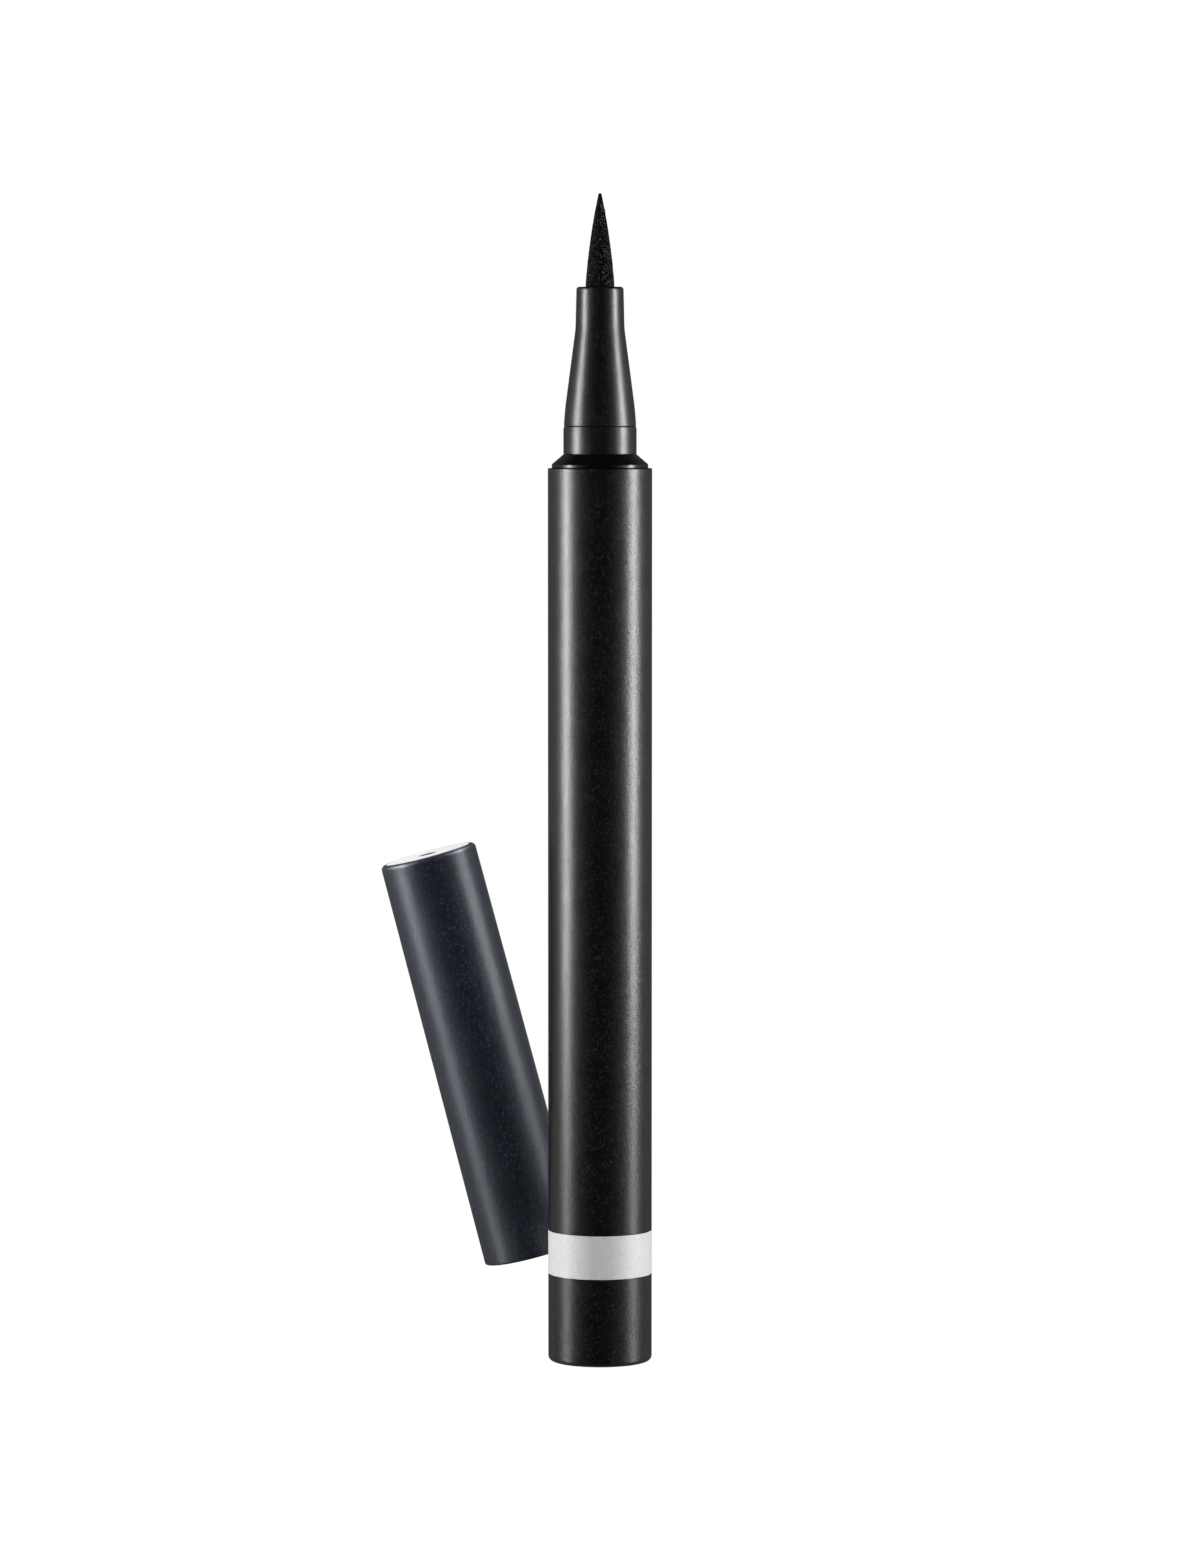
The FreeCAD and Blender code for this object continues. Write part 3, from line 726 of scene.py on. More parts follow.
class Palette:
    """The object's finishes, one for each material slot."""

    FINISHES: dict[Slot, Finish] = {
        Slot.PEARL_BLACK: PearlLacquer(
            "pearl_black_lacquer", base=(0.0006, 0.0006, 0.0007), flake=(0.017, 0.017, 0.0177),
            roughness=0.335),
        Slot.SLATE_BLACK: PearlLacquer(
            "slate_black_lacquer", base=(0.0028, 0.0032, 0.0052), flake=(0.0195, 0.022, 0.034),
            roughness=0.4, sheen_tint=(0.84, 0.92, 1.0)),
        Slot.GLOSS_BLACK: MouldedPlastic(
            "gloss_black_plastic", dark=(0.0006, 0.0006, 0.0006), light=(0.0012, 0.0012, 0.0012),
            roughness=0.27, level=0.35),
        Slot.BLACK_PLASTIC: MouldedPlastic(
            "black_plug_plastic", dark=(0.006, 0.006, 0.0065), light=(0.012, 0.012, 0.013), roughness=0.5),
        Slot.PALE_BAND: MouldedPlastic(
            "pale_band_lacquer", dark=(0.42, 0.42, 0.42), light=(0.48, 0.48, 0.48), roughness=0.45,
            cloud_size=0.4),
        # The core colour is painted shade, which darkens the end disc's vent.
        Slot.WHITE_PLASTIC: VentShadedPlastic(
            "white_plastic_painted_vent_shade", core=(0.004, 0.004, 0.004), face=(0.8, 0.8, 0.795), roughness=0.45),
        Slot.NATURAL_PLASTIC: MouldedPlastic(
            "natural_inner_plastic", dark=(0.66, 0.66, 0.63), light=(0.76, 0.76, 0.73),
            roughness=0.42, glow=0.6),
        Slot.NIB_FIBRE: BondedFibre(
            "nib_black_fibre", dark=(0.0005, 0.0005, 0.0005), light=(0.05, 0.05, 0.05),
            strand=0.08, length=0.11, roughness=0.5, depth=0.01, bare=0.82, tilt=0.5, level=0.05),
        Slot.INK_FIBRE: BondedFibre(
            "ink_soaked_fibre", dark=(0.003, 0.003, 0.004), light=(0.02, 0.02, 0.024),
            strand=0.15, length=5.0, roughness=0.6, depth=0.03, bare=0.4, tilt=0.1, level=0.3),
        Slot.CLEAR_FILM: ClearFilm(
            "clear_wrap_film", dark=(0.86, 0.88, 0.9), light=(0.95, 0.96, 0.97), roughness=0.16),
        Slot.SPRING_STEEL: DrawnSteel(
            "drawn_spring_steel", dark=(0.46, 0.46, 0.47), light=(0.68, 0.68, 0.69), roughness=0.28),
    }

    def __init__(self) -> None:
        """Make each finish once."""
        self.materials = {slot: finish.make() for slot, finish in self.FINISHES.items()}

    def dress(self, piece: Piece) -> None:
        """Give a piece its finish, its body and the nodes it stands for.

        Args:
            piece: The piece.
        """
        piece.shape.data.materials.append(self.materials[piece.slot])
        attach(piece.shape, piece.body.value)
        if piece.nodes:
            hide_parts(*piece.nodes)

    def paint(self, node: bpy.types.Object, slot: Slot) -> None:
        """Give a node of the frame its finish."""
        for place in node.material_slots:
            place.material = self.materials[slot]


class Assembly:
    """A sub-assembly: its sizes, and the steps that build and dress its pieces."""

    def build(self) -> list[Piece]:
        """Return the new pieces."""
        raise NotImplementedError

    def dress(self, palette: Palette) -> list[Piece]:
        """Build the pieces and give each its finish, its body and its nodes.

        Args:
            palette: Finishes.

        Returns:
            The pieces.
        """
        pieces = self.build()
        for piece in pieces:
            palette.dress(piece)
        return pieces


@dataclass(frozen=True)
class Barrel(Assembly):
    """Barrel, shade band and tail plug; heights start at the tail face."""

    radius: float = 5.5
    wall: float = 1.0
    length: float = 94.8
    tail_round: float = 0.55
    band_base: float = 9.35
    band_width: float = 4.65
    band_thickness: float = 0.15
    plug_length: float = 8.0
    plug_wall: float = 0.9
    plug_base: float = 1.2
    plug_edge: float = 0.15
    gate_radius: float = 0.5
    gate_depth: float = 0.15
    gate_slope: float = 0.22
    groove_radius: float = 2.9
    groove_width: float = 0.45
    groove_depth: float = 0.1
    columns: int = 192

    @property
    def bore(self) -> float:
        """Return the radius of the bore."""
        return self.radius - self.wall

    def build(self) -> list[Piece]:
        """Return the barrel, the band flush in its seat and the plug in the tail.

        Returns:
            The pieces.
        """
        tube = grid_object("barrel_shell", turned(self.tube(), self.columns), Ends.LOOP)
        band = grid_object("shade_band_sleeve", turned(self.band(), self.columns), Ends.LOOP)
        plug = grid_object("tail_plug_face", turned(self.plug(), self.columns), Ends.POLES)
        return [
            Piece(tube, Slot.PEARL_BLACK, Body.PEN, ("barrel",)),
            Piece(band, Slot.PALE_BAND, Body.PEN, ("shade_band",)),
            Piece(plug, Slot.BLACK_PLASTIC, Body.PEN, ("tail_plug",)),
        ]

    def tube(self) -> np.ndarray:
        """Return the barrel's outline, with the band's seat.

        Returns:
            Array of (radius, height) rows.
        """
        seat = self.radius - self.band_thickness - SEAT_GAP
        band_top = self.band_base + self.band_width
        return rounded_outline([
            Corner(self.bore, 0, SOFT), Corner(self.radius, 0, self.tail_round),
            Corner(self.radius, self.band_base, KEEN), Corner(seat, self.band_base),
            Corner(seat, band_top), Corner(self.radius, band_top, KEEN),
            Corner(self.radius, self.length, CRISP), Corner(self.bore, self.length, CRISP),
        ], Ends.LOOP)

    def band(self) -> np.ndarray:
        """Return the band's outline.

        Returns:
            Array of (radius, height) rows.
        """
        low, high = self.band_base + SEAT_GAP, self.band_base + self.band_width - SEAT_GAP
        inner = self.radius - self.band_thickness
        return rounded_outline([
            Corner(inner, low), Corner(self.radius, low, KEEN),
            Corner(self.radius, high, KEEN), Corner(inner, high),
        ], Ends.LOOP)

    def plug(self) -> np.ndarray:
        """Return the plug's outline: a gate dimple in its middle, a ring groove and a chamfered edge.

        Returns:
            Array of (radius, height) rows.
        """
        outside = self.bore - PRESS_GAP
        inside = outside - self.plug_wall
        groove_end = self.groove_radius + self.groove_width
        return rounded_outline([
            Corner(0, self.gate_depth), Corner(self.gate_radius, self.gate_depth, CRISP),
            Corner(self.gate_radius + self.gate_slope, 0, SOFT), Corner(self.groove_radius, 0, KEEN),
            Corner(self.groove_radius + self.groove_depth, self.groove_depth, KEEN),
            Corner(groove_end - self.groove_depth, self.groove_depth, KEEN), Corner(groove_end, 0, KEEN),
            Corner(outside - self.plug_edge, 0, CRISP), Corner(outside, self.plug_edge, CRISP),
            Corner(outside, self.plug_length, SOFT), Corner(inside, self.plug_length, SOFT),
            Corner(inside, self.plug_base, BLUNT), Corner(0, self.plug_base),
        ], Ends.POLES)


@dataclass(frozen=True)
class FrontEnd(Assembly):
    """Collar, neck ring, nozzle and fibre nib; heights start at the barrel's tail face."""

    barrel: Barrel
    rim: float = 5.085
    rim_height: float = 0.42
    rim_round: float = 0.12
    cone_height: float = 1.05
    skirt_length: float = 8.5
    neck: float = 3.86
    neck_height: float = 2.95
    lead_height: float = 0.35
    lead_depth: float = 0.05
    lead_round: float = 1.0
    seam_round: float = 0.08
    nozzle_length: float = 14.65
    swell: float = 3.62
    swell_height: float = 2.3
    swell_radius: float = 42.0
    swell_points: int = 10
    land: float = 2.58
    land_drop: float = 4.39
    land_blend: float = 8.0
    tip: float = 2.475
    tip_round: float = 0.3
    spigot: float = 3.0
    spigot_tail: float = 2.2
    spigot_bore: float = 2.0
    spigot_bore_length: float = 20.0
    bead_height: float = 0.18
    bead_width: float = 0.8
    slots: int = 4
    slot_width: float = 0.5
    slot_depth: float = 0.35
    slot_flank: float = 0.05
    nib_radius: float = 1.525
    nib_length: float = 9.8
    nib_grip: float = 6.0
    nib_gap: float = 0.04
    nib_flank: float = 73.0
    nib_rows: int = 220
    point: float = 0.15
    point_round: float = 0.13
    stem: float = 1.1
    stem_gap: float = 0.1
    stem_reach: float = 12.0
    reservoir_gap: float = 0.3
    columns: int = 192
    nib_columns: int = 256

    @property
    def bore(self) -> float:
        """Return the bore of collar and neck ring."""
        return self.spigot + PRESS_GAP

    @property
    def skirt_end(self) -> float:
        """Return the height of the collar's lower end."""
        return self.barrel.length - self.skirt_length

    @property
    def rim_top(self) -> float:
        """Return the height of the rim's upper edge."""
        return self.barrel.length + self.rim_height

    @property
    def collar_top(self) -> float:
        """Return the height of the collar's upper face."""
        return self.rim_top + self.cone_height

    @property
    def seam(self) -> float:
        """Return the height of the seam between neck ring and nozzle."""
        return self.collar_top + self.neck_height

    @property
    def tip_top(self) -> float:
        """Return the height of the nozzle's upper face."""
        return self.seam + self.nozzle_length

    @property
    def spigot_end(self) -> float:
        """Return the height of the nozzle's lower end."""
        return self.skirt_end - self.spigot_tail

    @property
    def nib_seat(self) -> float:
        """Return the height of the step that the nib stands on."""
        return self.tip_top - self.nib_grip

    @property
    def nib_mouth(self) -> Corner:
        """Return the nib's edge at the nozzle's upper face."""
        return Corner(self.nib_radius, self.tip_top)

    @property
    def nib_point(self) -> Corner:
        """Return the edge of the nib's blunt point."""
        return Corner(self.point, self.tip_top + self.nib_length, self.point_round)

    def build(self) -> list[Piece]:
        """Return the front pieces, from the collar to the nib and its stray fibres.

        Returns:
            The pieces.
        """
        collar = grid_object("collar_ring", turned(self.collar(), self.columns), Ends.LOOP)
        neck = grid_object("neck_sleeve", turned(self.neck_ring(), self.columns), Ends.LOOP)
        nozzle = grid_object("nozzle_cone", self.nozzle(), Ends.LOOP)
        nib = grid_object("nib_point", self.nib(), Ends.POLES)
        strays = grid_object("nib_strays", StrayFibres(self).grids(), Ends.POLES)
        return [
            Piece(collar, Slot.GLOSS_BLACK, Body.PEN, ("collar",)),
            Piece(neck, Slot.PEARL_BLACK, Body.PEN, ("neck_ring",)),
            Piece(nozzle, Slot.PEARL_BLACK, Body.PEN, ("nozzle",)),
            Piece(nib, Slot.NIB_FIBRE, Body.PEN, ("nib",)),
            Piece(strays, Slot.NIB_FIBRE, Body.PEN),
        ]

    def collar(self) -> np.ndarray:
        """Return the collar's outline: a skirt in the barrel, a narrow rim on its mouth and a cone.

        Returns:
            Array of (radius, height) rows.
        """
        skirt = self.barrel.bore - PRESS_GAP
        seat = self.barrel.length + SEAT_GAP
        return rounded_outline([
            Corner(self.bore, self.skirt_end, SOFT), Corner(skirt, self.skirt_end, SOFT),
            Corner(skirt, seat), Corner(self.rim, seat, SOFT),
            Corner(self.rim, self.rim_top, self.rim_round), Corner(self.neck, self.collar_top, KEEN),
            Corner(self.bore, self.collar_top),
        ], Ends.LOOP)

    def neck_ring(self) -> np.ndarray:
        """Return the neck ring's outline, with a slight lead-in below the seam.

        Returns:
            Array of (radius, height) rows.
        """
        low = self.collar_top + SEAT_GAP
        return rounded_outline([
            Corner(self.bore, low), Corner(self.neck, low, self.seam_round),
            Corner(self.neck, self.seam - self.lead_height, self.lead_round),
            Corner(self.neck - self.lead_depth, self.seam, self.seam_round), Corner(self.bore, self.seam),
        ], Ends.LOOP)

    def nozzle(self) -> np.ndarray:
        """Return the nozzle's surface.

        The turned outline's nib bore is widened by the slots: the radius there grows by the slot's depth
        times a share that falls evenly from one to zero across the slot's flank.

        Returns:
            Grid of points.
        """
        foot = Corner(self.neck - self.lead_depth, self.seam + SEAT_GAP, self.seam_round)
        swell = Corner(self.swell, self.seam + SEAT_GAP + self.swell_height)
        bead_top = self.skirt_end - PRESS_GAP
        bead = Corner(self.spigot + self.bead_height, bead_top - self.bead_width / 2, SOFT)
        bore_top = self.spigot_end + self.spigot_bore_length
        nib_bore, stem_bore = self.nib_radius + self.nib_gap, self.stem + self.stem_gap
        outline = rounded_outline([
            Corner(self.spigot_bore, self.spigot_end, CRISP), Corner(self.spigot, self.spigot_end, BLUNT),
            Corner(self.spigot, bead_top - self.bead_width), bead, Corner(self.spigot, bead_top),
            Corner(self.spigot, foot.z), foot,
            *bulge(Corner(foot.r, foot.z), swell, self.swell_radius, self.swell_points), swell,
            Corner(self.land, self.tip_top - self.land_drop, self.land_blend),
            Corner(self.tip, self.tip_top, self.tip_round), Corner(nib_bore, self.tip_top, CRISP),
            Corner(nib_bore, self.nib_seat), Corner(stem_bore, self.nib_seat),
            Corner(stem_bore, bore_top), Corner(self.spigot_bore, bore_top),
        ], Ends.LOOP)
        grid = turned(outline, self.columns)
        pitch = FULL_TURN / self.slots
        offset = np.abs((around(self.columns) + pitch / 2) % pitch - pitch / 2) * nib_bore
        open_share = np.clip((self.slot_width / 2 - offset) / self.slot_flank + 0.5, 0, 1)
        in_bore = (outline[:, 0] < nib_bore + SOFT) & (outline[:, 1] > self.nib_seat + SEAT_GAP)
        widened = 1 + in_bore[:, None] * open_share * self.slot_depth / outline[:, :1]
        grid[..., :2] *= widened[..., None]
        return grid

    def nib(self) -> np.ndarray:
        """Return the nib's surface: a turned outline whose radius a fibre relief moves in and out.

        Returns:
            Grid of points.
        """
        mouth, point = self.nib_mouth, self.nib_point
        foot = self.nib_seat + SEAT_GAP
        stem_end = self.spigot_end - self.reservoir_gap - self.stem_reach
        outline = rounded_outline([
            Corner(0, stem_end), Corner(self.stem, stem_end, SOFT), Corner(self.stem, foot),
            Corner(self.nib_radius, foot, SOFT), mouth, *bulge(mouth, point, self.nib_flank, self.nib_rows),
            point, Corner(0, point.z),
        ], Ends.POLES)
        grid = turned(outline, self.nib_columns)
        radius = np.maximum(np.hypot(grid[..., 0], grid[..., 1]), SEAT_GAP)
        grid[..., :2] *= (1 + FibreRelief(mouth.z, point.z).heights(grid) / radius)[..., None]
        return grid


@dataclass(frozen=True)
class FibreRelief:
    """Uneven surface of bonded fibre between two heights."""

    low: float
    high: float
    depth: float = 0.02
    limit: float = 1.3
    waves: int = 30
    wave_lengths: tuple[float, float] = (0.13, 0.32)
    rise_lengths: tuple[float, float] = (0.25, 0.9)
    fade_in: float = 0.4
    fade_out: float = 2.5
    seed: int = 11

    def heights(self, points: np.ndarray) -> np.ndarray:
        """Return how far points of the surface move outwards.

        It is the depth times a sum of cosines of x, y and z with seeded ways, lengths and phases, divided by
        the root of their number. It fades in above the lower height and out below the upper one.

        Args:
            points: Grid of points.

        Returns:
            One number for each point.
        """
        source = np.random.default_rng(self.seed)
        ways = source.uniform(0, FULL_TURN, self.waves)
        counts = FULL_TURN / source.uniform(*self.wave_lengths, self.waves)
        rises = FULL_TURN / source.uniform(*self.rise_lengths, self.waves)
        rises = rises * source.choice([-1, 1], self.waves)
        phases = source.uniform(0, FULL_TURN, self.waves)
        x, y, z = (points[..., axis, None] for axis in range(3))
        angles = counts * (x * np.cos(ways) + y * np.sin(ways)) + rises * z + phases
        total = np.cos(angles).sum(axis=-1) / math.sqrt(self.waves)
        shown = np.clip((points[..., 2] - self.low) / self.fade_in, 0, 1)
        room = np.clip((self.high - points[..., 2]) / self.fade_out, 0, 1)
        return self.depth * shown * room * np.clip(total, -self.limit, self.limit)


@dataclass(frozen=True)
class StrayFibres:
    """Fibre ends that stand a little off the nib."""

    front: FrontEnd
    count: int = 34
    rows: int = 12
    columns: int = 8
    thick: float = 0.028
    sunk: float = 0.02
    lengths: tuple[float, float] = (0.5, 1.1)
    lift: float = 0.035
    clear_low: float = 1.2
    clear_high: float = 0.7
    side_bearing: float = -0.2
    side_drop: float = 1.55
    side_lift: float = 0.09
    seed: int = 5

    def flank(self, heights: np.ndarray) -> np.ndarray:
        """Return the nib's radius at heights: the bulging arc between its mouth and its point.

        Args:
            heights: Heights.

        Returns:
            Radii.
        """
        centre = bulge_centre(self.front.nib_mouth, self.front.nib_point, self.front.nib_flank)
        return centre[0] + np.sqrt(self.front.nib_flank ** 2 - (heights - centre[1]) ** 2)

    def grids(self) -> np.ndarray:
        """Return the fibres.

        Each is a tapered tube along the nib's flank: its path keeps one bearing, rises in height, and
        leaves the surface by its lift times the square of the share of its length. Its thickness falls with
        the root of one less the fourth power of that share. The first stands out at the nib's side.

        Returns:
            One grid for each fibre.
        """
        low, high = self.front.nib_mouth.z, self.front.nib_point.z
        source = np.random.default_rng(self.seed)
        bearing = source.uniform(0, FULL_TURN, self.count)
        top = source.uniform(low + self.clear_low, high - self.clear_high, self.count)
        length = source.uniform(*self.lengths, self.count)
        lift = source.uniform(0, self.lift, self.count)
        bearing[0], top[0], lift[0] = self.side_bearing, high - self.side_drop, self.side_lift
        share = np.linspace(0, 1, self.rows)
        height = top[:, None] - length[:, None] * (1 - share)
        radius = self.flank(height) - self.sunk + lift[:, None] * share ** 2
        thick = self.thick * np.sqrt(np.clip(1 - share ** 4, 0, 1))
        thick[0] = thick[-1] = 0
        turn = around(self.columns)
        out = np.stack([np.cos(bearing), np.sin(bearing), 0 * bearing], axis=-1)[:, None, None]
        side = np.stack([-np.sin(bearing), np.cos(bearing), 0 * bearing], axis=-1)[:, None, None]
        ring = out * np.cos(turn)[:, None] + side * np.sin(turn)[:, None]
        path = out * radius[..., None, None] + np.array([0, 0, 1.0]) * height[..., None, None]
        return path + ring * thick[:, None, None]


@dataclass(frozen=True)
class Reservoir:
    """Ink reservoir and its wrap, whose nodes keep their shape."""

    nodes: dict[str, bpy.types.Object]

    def dress(self, palette: Palette) -> list[bpy.types.Object]:
        """Give both nodes their finish.

        Args:
            palette: Finishes.

        Returns:
            The nodes.
        """
        core, wrap = self.nodes["reservoir_core"], self.nodes["reservoir_wrap"]
        palette.paint(core, Slot.INK_FIBRE)
        palette.paint(wrap, Slot.CLEAR_FILM)
        return [core, wrap]


@dataclass(frozen=True)
class CapRoom:
    """Where the cap is set, and the heights inside it that its pieces share.

    The cap's own frame has the mouth's centre at zero and the closed end up.
    """

    barrel: Barrel
    offset: float = -7.105
    height: float = 10.38
    lean: float = 14.85
    rest_gap: float = 0.25
    mouth: float = 5.425
    length: float = 44.42
    bore: float = 4.3
    ledge: float = 12.0
    disc_thickness: float = 1.0
    chamber_top: float = 16.15
    roof_thickness: float = 0.9
    boss_height: float = 1.5
    travel: float = 3.0
    stop_gap: float = 0.2

    @property
    def depth(self) -> float:
        """Return how far the mouth's centre lies behind the pen's axis, so that cap and barrel just clear."""
        return math.sqrt((self.barrel.radius + self.mouth + self.rest_gap) ** 2 - self.offset ** 2)

    @property
    def disc_under(self) -> float:
        """Return the height of the end disc's inner face."""
        return self.length - self.disc_thickness

    @property
    def roof(self) -> float:
        """Return the height of the inner cap's roof, which carries the spring."""
        return self.length - self.chamber_top + self.roof_thickness

    @property
    def post_end(self) -> float:
        """Return the height of the guide post's end, which stops the inner cap's boss."""
        return self.roof + self.boss_height + self.travel + self.stop_gap

    def moved(self, points: np.ndarray) -> np.ndarray:
        """Return points of the cap's frame in the pen's frame: leant about -Y, then shifted.

        Args:
            points: Array of points.

        Returns:
            The points moved.
        """
        c, s = math.cos(math.radians(self.lean)), math.sin(math.radians(self.lean))
        lean = np.array([[c, 0, -s], [0, 1, 0], [s, 0, c]])
        return points @ lean.T + np.array([self.offset, self.depth, self.height])

    def axis(self) -> np.ndarray:
        """Return the direction from the mouth to the closed end."""
        return self.moved(np.array([0, 0, 1.0])) - self.moved(np.zeros(3))


@dataclass(frozen=True)
class Cap(Assembly):
    """Cap shell and end disc, in the cap's own frame."""

    room: CapRoom
    front: FrontEnd
    top: float = 5.205
    top_round: float = 0.5
    mouth_round: float = 0.2
    bevel: float = 4.95
    grip_gap: float = 0.1
    grip_depth: float = 9.0
    guide: float = 3.7
    disc: float = 4.6
    skirt_length: float = 2.0
    skirt_wall: float = 0.45
    post: float = 2.85
    post_wall: float = 0.8
    vent: float = 0.975
    face_depth: float = 0.005
    columns: int = 192

    def build(self) -> list[Piece]:
        """Return the shell and the disc, whose outer face is marked as the pale one; the rest of the disc,
        with the vent's wall, takes painted shade.

        Returns:
            The pieces.
        """
        disc = self.disc_outline()
        tube = grid_object("cap_tube", self.room.moved(turned(self.shell_outline(), self.columns)), Ends.LOOP)
        button = grid_object("cap_end_button", self.room.moved(turned(disc, self.columns)), Ends.LOOP)
        # Only the outer face stays pale; below it the vent's wall gets painted shade.
        on_face = (disc[:, 1] > self.room.length - self.face_depth).astype(np.float32)
        shares = button.data.attributes.new(FACE_SHARE, "FLOAT", "POINT")
        shares.data.foreach_set("value", np.repeat(on_face, self.columns))
        return [
            Piece(tube, Slot.SLATE_BLACK, Body.CAP, ("cap_shell",)),
            Piece(button, Slot.WHITE_PLASTIC, Body.CAP, ("cap_end_disc",)),
        ]

    def shell_outline(self) -> np.ndarray:
        """Return the shell's outline: a bevelled mouth, the grip, the ledge and the disc's seat.

        The bevel has the slope of the collar's cone, which it lands on.

        Returns:
            Array of (radius, height) rows.
        """
        grip = self.front.neck + self.grip_gap
        slope = self.front.cone_height / (self.front.rim - self.front.neck)
        seat = self.disc + PRESS_GAP
        seat_height = self.room.disc_under - SEAT_GAP
        return rounded_outline([
            Corner(self.bevel, 0, CRISP), Corner(self.room.mouth, 0, self.mouth_round),
            Corner(self.top, self.room.length, self.top_round), Corner(seat, self.room.length, FLUSH),
            Corner(seat, seat_height), Corner(self.room.bore, seat_height),
            Corner(self.room.bore, self.room.ledge), Corner(self.guide, self.room.ledge, CRISP),
            Corner(self.guide, self.grip_depth, CRISP), Corner(grip, self.grip_depth),
            Corner(grip, (self.bevel - grip) * slope, SOFT),
        ], Ends.LOOP)

    def disc_outline(self) -> np.ndarray:
        """Return the disc's outline: a vented face with a skirt and a guide post under it.

        Returns:
            Array of (radius, height) rows.
        """
        under = self.room.disc_under
        skirt = self.room.bore - PRESS_GAP
        skirt_bore, skirt_end = skirt - self.skirt_wall, under - self.skirt_length
        post_bore = self.post - self.post_wall
        return rounded_outline([
            Corner(post_bore, self.room.post_end, SOFT), Corner(self.post, self.room.post_end, BLUNT),
            Corner(self.post, under, SOFT), Corner(skirt_bore, under),
            Corner(skirt_bore, skirt_end, CRISP), Corner(skirt, skirt_end, SOFT),
            Corner(skirt, under), Corner(self.disc, under, KEEN),
            Corner(self.disc, self.room.length, FLUSH), Corner(self.vent, self.room.length, FLUSH),
            Corner(self.vent, under, KEEN), Corner(post_bore, under, SOFT),
        ], Ends.LOOP)


@dataclass(frozen=True)
class InnerCap(Assembly):
    """Sprung inner cap and its coil spring, in the cap's own frame."""

    room: CapRoom
    lip_drop: float = 2.2
    lip_chamfer: float = 0.3
    skirt: float = 3.6
    wall: float = 3.55
    slide_gap: float = 0.1
    flange_thickness: float = 1.2
    boss: float = 2.85
    chamber: float = 2.95
    chamber_round: float = 0.5
    coil: float = 3.3
    wire: float = 0.225
    turns: int = 6
    turn_rows: int = 56
    wire_columns: int = 14
    columns: int = 144

    def build(self) -> list[Piece]:
        """Return the inner cap and the spring.

        Returns:
            The pieces.
        """
        bell = self.room.moved(turned(self.thimble(), self.columns))
        thimble = grid_object("inner_cap_thimble", bell, Ends.POLES)
        spring = grid_object("inner_cap_coil", self.room.moved(self.spring()), Ends.POLES)
        return [
            Piece(thimble, Slot.NATURAL_PLASTIC, Body.INNER_CAP, ("inner_cap",)),
            Piece(spring, Slot.SPRING_STEEL, Body.CAP, ("inner_cap_spring",)),
        ]

    def dress(self, palette: Palette) -> list[Piece]:
        """Dress both pieces and give the spring a mesh of its own.

        Args:
            palette: Finishes.

        Returns:
            The pieces.
        """
        pieces = super().dress(palette)
        free = self.room.disc_under - self.room.roof
        anchor = self.room.moved(np.array([0, 0, self.room.disc_under])) * MM
        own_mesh(pieces[-1].shape, "inner_cap_press", axis=tuple(self.room.axis()), anchor=tuple(anchor),
                  keep=(free - self.room.travel) / free)
        return pieces

    def thimble(self) -> np.ndarray:
        """Return the inner cap's outline: a chamber with a chamfered lip, a flange and a spring boss.

        Returns:
            Array of (radius, height) rows.
        """
        lip = self.room.ledge - self.lip_drop
        flange = self.room.bore - self.slide_gap
        flange_low = self.room.ledge + SEAT_GAP
        flange_high = flange_low + self.flange_thickness
        chamber_roof = self.room.roof - self.room.roof_thickness
        boss_top = self.room.roof + self.room.boss_height
        return rounded_outline([
            Corner(0, chamber_roof), Corner(self.chamber, chamber_roof, self.chamber_round),
            Corner(self.chamber, lip + self.lip_chamfer, CRISP),
            Corner(self.chamber + self.lip_chamfer, lip, CRISP),
            Corner(self.skirt, lip, SOFT), Corner(self.skirt, flange_low), Corner(flange, flange_low, SOFT),
            Corner(flange, flange_high, SOFT), Corner(self.wall, flange_high, SOFT),
            Corner(self.wall, self.room.roof, BLUNT), Corner(self.boss, self.room.roof),
            Corner(self.boss, boss_top, BLUNT), Corner(0, boss_top),
        ], Ends.POLES)

    def spring(self) -> np.ndarray:
        """Return the coil: a round wire carried along a helix.

        The path is (coil cos a, coil sin a, rise a). Each ring is the path plus the wire's radius times
        the cosine and sine of its own angle along the path's inward normal and its second normal.

        Returns:
            Grid of points whose end rows are single points.
        """
        low = self.room.roof + self.wire + SEAT_GAP
        high = self.room.disc_under - self.wire - SEAT_GAP
        a = np.linspace(0, FULL_TURN * self.turns, self.turn_rows * self.turns + 1)[:, None]
        rise = (high - low) / (FULL_TURN * self.turns)
        path = np.hstack([self.coil * np.cos(a), self.coil * np.sin(a), low + rise * a])
        way = unit(np.hstack([-self.coil * np.sin(a), self.coil * np.cos(a), rise + 0 * a]))
        inward = np.hstack([-np.cos(a), -np.sin(a), 0 * a])
        second = np.cross(way, inward)
        turn = around(self.wire_columns)[:, None]
        ring = inward[:, None] * np.cos(turn) + second[:, None] * np.sin(turn)
        ends = np.repeat(path[[0, -1], None], self.wire_columns, axis=1)
        return np.concatenate([ends[:1], path[:, None] + self.wire * ring, ends[1:]])


